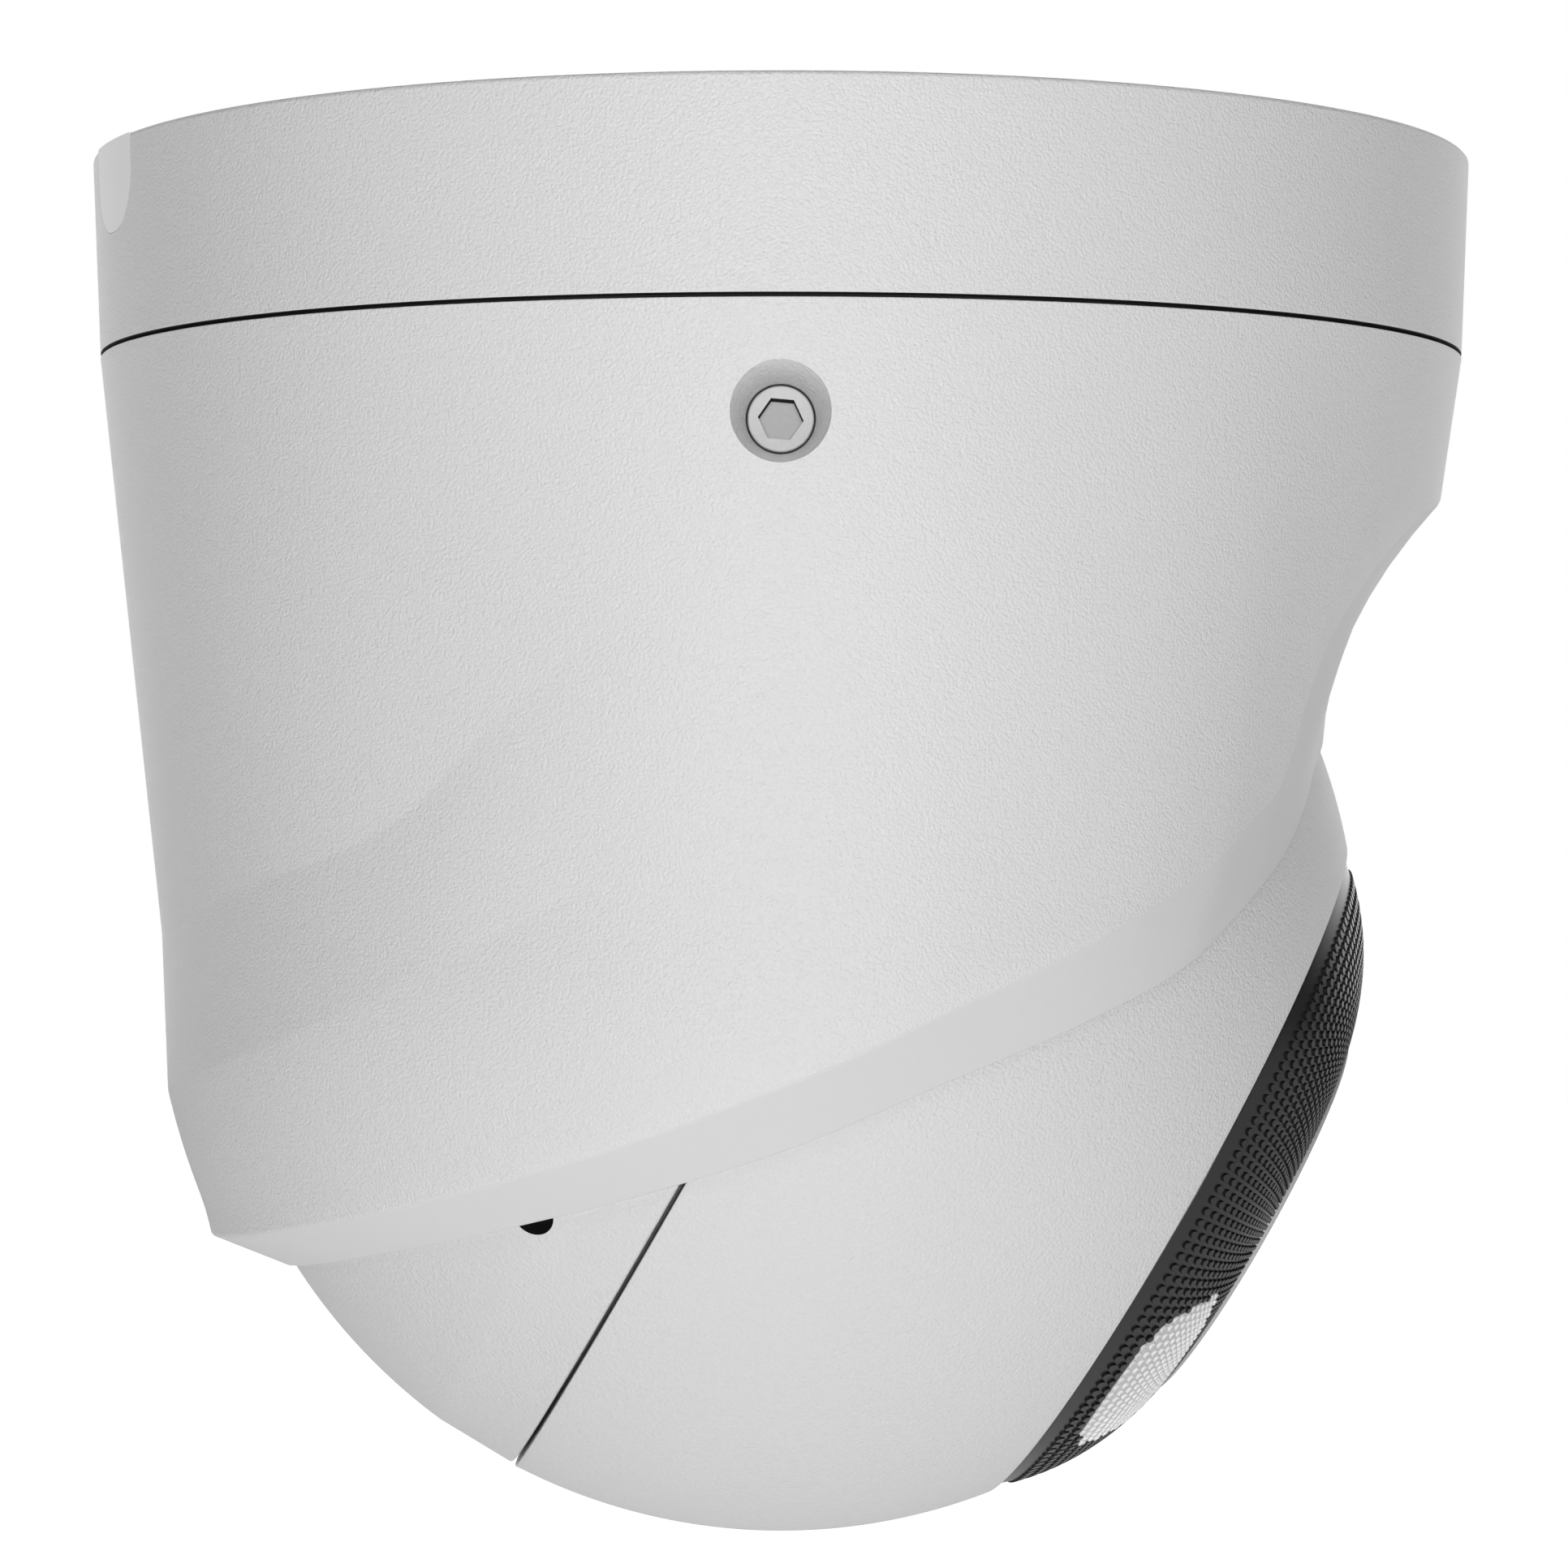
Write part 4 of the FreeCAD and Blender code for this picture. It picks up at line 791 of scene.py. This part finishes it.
def front_housing():
    """Front housing of the ball, with the seat for the face."""
    inner, lip, lip_back = BALL_RADIUS - BALL_WALL, 44.5, 4.7
    mouth, seat, seat_back, seat_hole = FACE_EDGE + 0.2, MOUTH - 1.8, MOUTH - 3.8, 27.5
    outline = [(SEAM_FRONT, BALL_RADIUS, 0.12)] + on_ball(BALL_RADIUS, SEAM_FRONT + 0.6, MOUTH - 0.5, 60)
    outline += [(MOUTH, math.sqrt(BALL_RADIUS ** 2 - MOUTH ** 2), 0.12), (MOUTH, mouth, 0.1),
                (seat, mouth, 0), (seat, seat_hole, 0), (seat_back, seat_hole, 0), (seat_back, 33.5)]
    outline += on_ball(inner, 32.5, lip_back, 40) + [(lip_back, lip, 0), (SEAM_FRONT, lip, 0.2)]
    turned("ball_front_body", outline, "ball_front", "painted_ball", ["ball_front_housing"], IN_BALL,
           along=True)


# ---------------------------------------------------------------- face with its studs and light windows
FACE_CENTRE, FACE_ARC = (24.0, 14.0), 23.0      # the face's rounded profile: its centre and radius
AROUND, RINGS = 180, 18                 # studs round each ring, and rings
STUD_SIZE, STUD_HEIGHT = 0.34, 0.2      # radius as a share of the stud's own cell, and height in mm
STUD_SIDES = 12
STUD_LEVELS = ((1.04, 0.0), (1.0, STUD_HEIGHT - 0.03), (0.9, STUD_HEIGHT))      # width, lift
PULL = 0.42                             # farthest a corner moves to meet a light window's outline
SKIRT = 1.6                             # depth of the walls round the face's sheets


def face_point(radius, azimuth, lift=0.0):
    """A point of the face: azimuth 0 is the near side and 90 is up; `lift` is along the face's normal."""
    across = (radius - FACE_CENTRE[1]) / FACE_ARC
    ahead = math.sqrt(1 - across ** 2)
    s = FACE_CENTRE[0] + (FACE_ARC + lift) * ahead
    r = FACE_CENTRE[1] + (FACE_ARC + lift) * across
    turn = math.radians(azimuth)
    return (s, -r * math.cos(turn), r * math.sin(turn))


# The light windows' outline, by degrees away from their middle.
LIGHT_MIDDLE, LIGHT_END = 39.4, 24.3
LIGHT_OUTER = through([(0, 29.1), (10, 28.9), (17.5, 27.9), (20, 26.3), (LIGHT_END, 22.6)])
LIGHT_INNER = through([(0, 20.3), (8, 20.4), (16, 21.0), (LIGHT_END, 22.5)])


def in_light_window(radius, azimuth):
    """-1 or 1 inside the near or far light window, else 0."""
    for side in (-1, 1):
        below = -azimuth if side < 0 else azimuth - 180
        away = abs((below + 180) % 360 - 180 - LIGHT_MIDDLE)
        if away < LIGHT_END and LIGHT_INNER(away) < radius < LIGHT_OUTER(away):
            return side
    return 0


def light_outline():
    """Points along both light windows' outlines, as complex numbers of radius and azimuth."""
    points = []
    for k in range(-200, 201):
        off = LIGHT_END * k / 200
        for edge in (LIGHT_OUTER, LIGHT_INNER):
            for azimuth in (-LIGHT_MIDDLE + off, 180 + LIGHT_MIDDLE + off):
                points.append(cmath.rect(edge(abs(off)), math.radians(azimuth)))
    return points


def studded_face():
    """The black face and its two light windows: one net of cells, each with a raised round stud."""
    first, last = FACE_EDGE - 0.95, DISC_RADIUS + 0.45
    ratio = (last / first) ** (1 / RINGS)
    radii = [first * ratio ** k for k in range(RINGS + 1)]
    middles = [math.sqrt(a * b) for a, b in zip(radii, radii[1:])]
    step = 360 / AROUND
    nets = {key: ([], [], {}) for key in (-1, 0, 1)}
    kinds = {(ring, k): in_light_window(middles[ring], (k + 0.5) * step)
             for ring in range(RINGS) for k in range(AROUND)}
    outline = light_outline()

    def settled(ring, k):
        """A corner's radius and azimuth, pulled to a light window's outline where two kinds of cell meet."""
        around = {kinds.get((ring + i, (k + j) % AROUND), 0) for i in (-1, 0) for j in (-1, 0)}
        radius, azimuth = radii[ring], k % AROUND * step
        if len(around) < 2:
            return radius, azimuth
        here = cmath.rect(radius, math.radians(azimuth))
        near = min(outline, key=lambda point: abs(point - here))
        here += (near - here) * min(1, PULL / max(abs(near - here), 0.001))
        return abs(here), math.degrees(cmath.phase(here))

    def corner(net, ring, k):
        verts, _, known = net
        key = (ring, k % AROUND)
        if key not in known:
            known[key] = len(verts)
            verts.append(face_point(*settled(ring, k)))
        return known[key]

    for ring, middle in enumerate(middles):
        reach = STUD_SIZE * math.radians(step)
        tall = STUD_SIZE * (radii[ring] - radii[ring + 1])
        for k in range(AROUND):
            net = nets[kinds[(ring, k)]]
            verts, faces, _ = net
            corners = [corner(net, ring, k), corner(net, ring, k + 1), corner(net, ring + 1, k + 1),
                       corner(net, ring + 1, k)]
            start = len(verts)
            for size, lift in STUD_LEVELS:
                for j in range(STUD_SIDES):
                    a = math.radians(135 - 360 * j / STUD_SIDES)
                    turn = (k + 0.5) * step + math.degrees(reach * size * math.cos(a))
                    verts.append(face_point(middle + tall * size * math.sin(a), turn, lift))
            quarter = STUD_SIDES // 4
            for side in range(4):
                foot = [start + (side * quarter + j) % STUD_SIDES for j in range(quarter + 1)]
                faces.append((corners[side], corners[(side + 1) % 4], *reversed(foot)))
            for level in range(len(STUD_LEVELS) - 1):
                for j in range(STUD_SIDES):
                    a = start + level * STUD_SIDES + j
                    b = start + level * STUD_SIDES + (j + 1) % STUD_SIDES
                    faces.append((a, b, b + STUD_SIDES, a + STUD_SIDES))
            faces.append(tuple(range(len(verts) - STUD_SIDES, len(verts))))
    return nets


def skirt(verts, faces):
    """Wall down from every open edge of a sheet on the face, towards the centre of its profile."""
    edges = dict.fromkeys((a, b) for corners in faces for a, b in zip(corners, corners[1:] + corners[:1]))
    lowered = {}

    def below(v):
        if v not in lowered:
            s, y, z = verts[v]
            r = math.hypot(y, z)
            reach = math.hypot(s - FACE_CENTRE[0], r - FACE_CENTRE[1])
            share = (reach - SKIRT) / reach
            new_r = FACE_CENTRE[1] + (r - FACE_CENTRE[1]) * share
            lowered[v] = len(verts)
            verts.append((FACE_CENTRE[0] + (s - FACE_CENTRE[0]) * share, y * new_r / r, z * new_r / r))
        return lowered[v]

    faces += [(b, a, below(a), below(b)) for a, b in edges if (b, a) not in edges]


def face_borders():
    """The plain borders of the black face: ring they start from, radii on the face, then folds behind it."""
    disc_edge, seat, seat_hole, seat_back = DISC_RADIUS + 0.08, 44.8, 15.5, 43.0
    outer = [(FACE_BACK + 1.0, FACE_EDGE), (FACE_BACK, FACE_EDGE), (FACE_BACK, FACE_EDGE - 3.2)]
    inner = [(seat, disc_edge), (seat, seat_hole), (seat_back, seat_hole)]
    return ((0, (FACE_EDGE - 0.25, FACE_EDGE), outer), (RINGS, (disc_edge,), inner))


def face():
    """The black face panel and the two light panes set in it."""
    nets = studded_face()
    turns = [math.tau * k / AROUND for k in range(AROUND)]
    verts, faces, known = nets[0]
    shaded_stud_walls = {i for i, corners in enumerate(faces) if len(corners) == 4}
    for ring, radii, folds in face_borders():
        rows = [[face_point(radius, math.degrees(turn)) for turn in turns] for radius in radii]
        rows += [[(s, -r * math.cos(turn), r * math.sin(turn)) for turn in turns] for s, r in folds]
        previous = [known[(ring, k)] for k in range(AROUND)]
        for row in rows:
            new = list(range(len(verts), len(verts) + AROUND))
            verts.extend(row)
            for k in range(AROUND):
                j = (k + 1) % AROUND
                quad = (previous[k], previous[j], new[j], new[k])
                faces.append(quad if ring else quad[::-1])
            previous = new
    skirt(verts, faces)
    panel = piece("face_panel", verts, faces, "ball_front", "black_face", ["front_window"], IN_BALL)
    # The studs' walls get painted shade, darker than the rest of the face.
    second_finish(panel, "stud_wall_shade", lambda polygon: polygon.index in shaded_stud_walls)
    mark_sharp(panel, 35)
    even_shading(panel)
    for side, label in ((-1, "near"), (1, "far")):
        verts, faces, _ = nets[side]
        skirt(verts, faces)
        pane = piece(f"light_pane_{label}", verts, faces, "ball_front", "clear_pane",
                     [f"light_window_{label}"], IN_BALL)
        # Painted highlight: the panes' stud walls and edges are near white.
        second_finish(pane, "pane_wall_highlight", lambda polygon: len(polygon.vertices) == 4)
        mark_sharp(pane, 35)
        even_shading(pane)


def front_disc():
    """The flat glass in front of the lens, with its ground edge."""
    thick = 2.0
    disc = turned("front_disc", [(DISC_FRONT - thick, DISC_RADIUS, 0.15), (DISC_FRONT, DISC_RADIUS, 0.2)],
                  "ball_front", "disc_glass", ["lens_glass"], IN_BALL, along=True, count=180, solid=True)
    second_finish(disc, "ground_edge", lambda polygon: len(polygon.vertices) == 4)


base()
shell()
lock_screws()
rear_cap()
front_housing()
face()
front_disc()


# ---------------------------------------------------------------- camera, floor and light
def linked(name, data, place=(0, 0, 0)):
    obj = bpy.data.objects.new(name, data)
    obj.location = place
    bpy.context.scene.collection.objects.link(obj)
    return obj


def softbox(name, place, target, size, watts):
    """A rectangular light that faces its target."""
    data = bpy.data.lights.new(name, "AREA")
    data.shape = "RECTANGLE"
    data.size, data.size_y = size
    data.energy = watts
    light = linked(name, data, place)
    light.rotation_euler = (Vector(target) - light.location).to_track_quat("-Z", "Y").to_euler()


def side_camera():
    """Level camera on the near side."""
    data = bpy.data.cameras.new("camera")
    data.lens, data.sensor_width = 106.2, 36.0
    camera = linked("camera", data, (0.000252, -0.408, -0.05375))
    camera.rotation_euler = (math.pi / 2, 0, 0)
    bpy.context.scene.camera = camera


def studio_air():
    """White backdrop for the camera; for everything else a soft glow from beyond the part."""
    glow_from, glow_full, glow = 0.5, 0.85, 2.2
    world = bpy.data.worlds.new("studio_air")
    world.use_nodes = True
    tree = world.node_tree
    backdrop = tree.nodes["Background"]
    backdrop.inputs["Color"].default_value = (1, 1, 1, 1)
    gaze = add(tree, "ShaderNodeTexCoord").outputs["Generated"]
    ahead = add(tree, "ShaderNodeSeparateXYZ", Vector=gaze).outputs["Y"]
    dim = add(tree, "ShaderNodeBackground", Strength=remap(tree, ahead, glow_from, glow_full, 0.0, glow))
    pick = tree.nodes.new("ShaderNodeMixShader")
    tree.links.new(tree.nodes.new("ShaderNodeLightPath").outputs["Is Camera Ray"], pick.inputs[0])
    tree.links.new(dim.outputs[0], pick.inputs[1])
    tree.links.new(backdrop.outputs[0], pick.inputs[2])
    tree.links.new(pick.outputs[0], tree.nodes["World Output"].inputs[0])
    bpy.context.scene.world = world
    bpy.context.scene.view_settings.view_transform = "Standard"


def floor_finish():
    """Pale glowing floor, clear when seen from underneath."""
    glow, glow_to_camera = 0.36, 0.95
    material = bpy.data.materials.new("pale_floor")
    material.use_nodes = True
    tree = material.node_tree
    shader = tree.nodes["Principled BSDF"]
    shader.inputs["Base Color"].default_value = (0.85, 0.85, 0.85, 1)
    shader.inputs["Roughness"].default_value = 0.9
    shader.inputs["Emission Color"].default_value = (1, 1, 1, 1)
    seen = tree.nodes.new("ShaderNodeLightPath").outputs["Is Camera Ray"]
    tree.links.new(remap(tree, seen, 0.0, 1.0, glow, glow_to_camera), shader.inputs["Emission Strength"])
    pick = tree.nodes.new("ShaderNodeMixShader")
    clear = tree.nodes.new("ShaderNodeBsdfTransparent")
    tree.links.new(tree.nodes.new("ShaderNodeNewGeometry").outputs["Backfacing"], pick.inputs[0])
    tree.links.new(shader.outputs[0], pick.inputs[1])
    tree.links.new(clear.outputs[0], pick.inputs[2])
    tree.links.new(pick.outputs[0], tree.nodes["Material Output"].inputs[0])
    return material


def studio():
    middle = Vector((0, 0, BALL.z * 0.78))
    side_camera()
    softbox("front_key", (0, -1.1, middle.z), middle, (0.16, 0.16), 5.0)
    softbox("top_fill", (0, -0.8, middle.z + 0.8), middle, (0.9, 0.5), 2.2)
    studio_air()
    sides, reach, drop = 96, 4, 3 * CAD_BOX[0][2]
    mesh = bpy.data.meshes.new("floor")
    rim = [(reach * x, reach * y, drop) for x, y in arc((0, 0), 1, 0, 360, sides)[:sides]]
    mesh.from_pydata(rim, [], [tuple(range(sides))])
    mesh.materials.append(floor_finish())
    linked("floor", mesh)


studio()
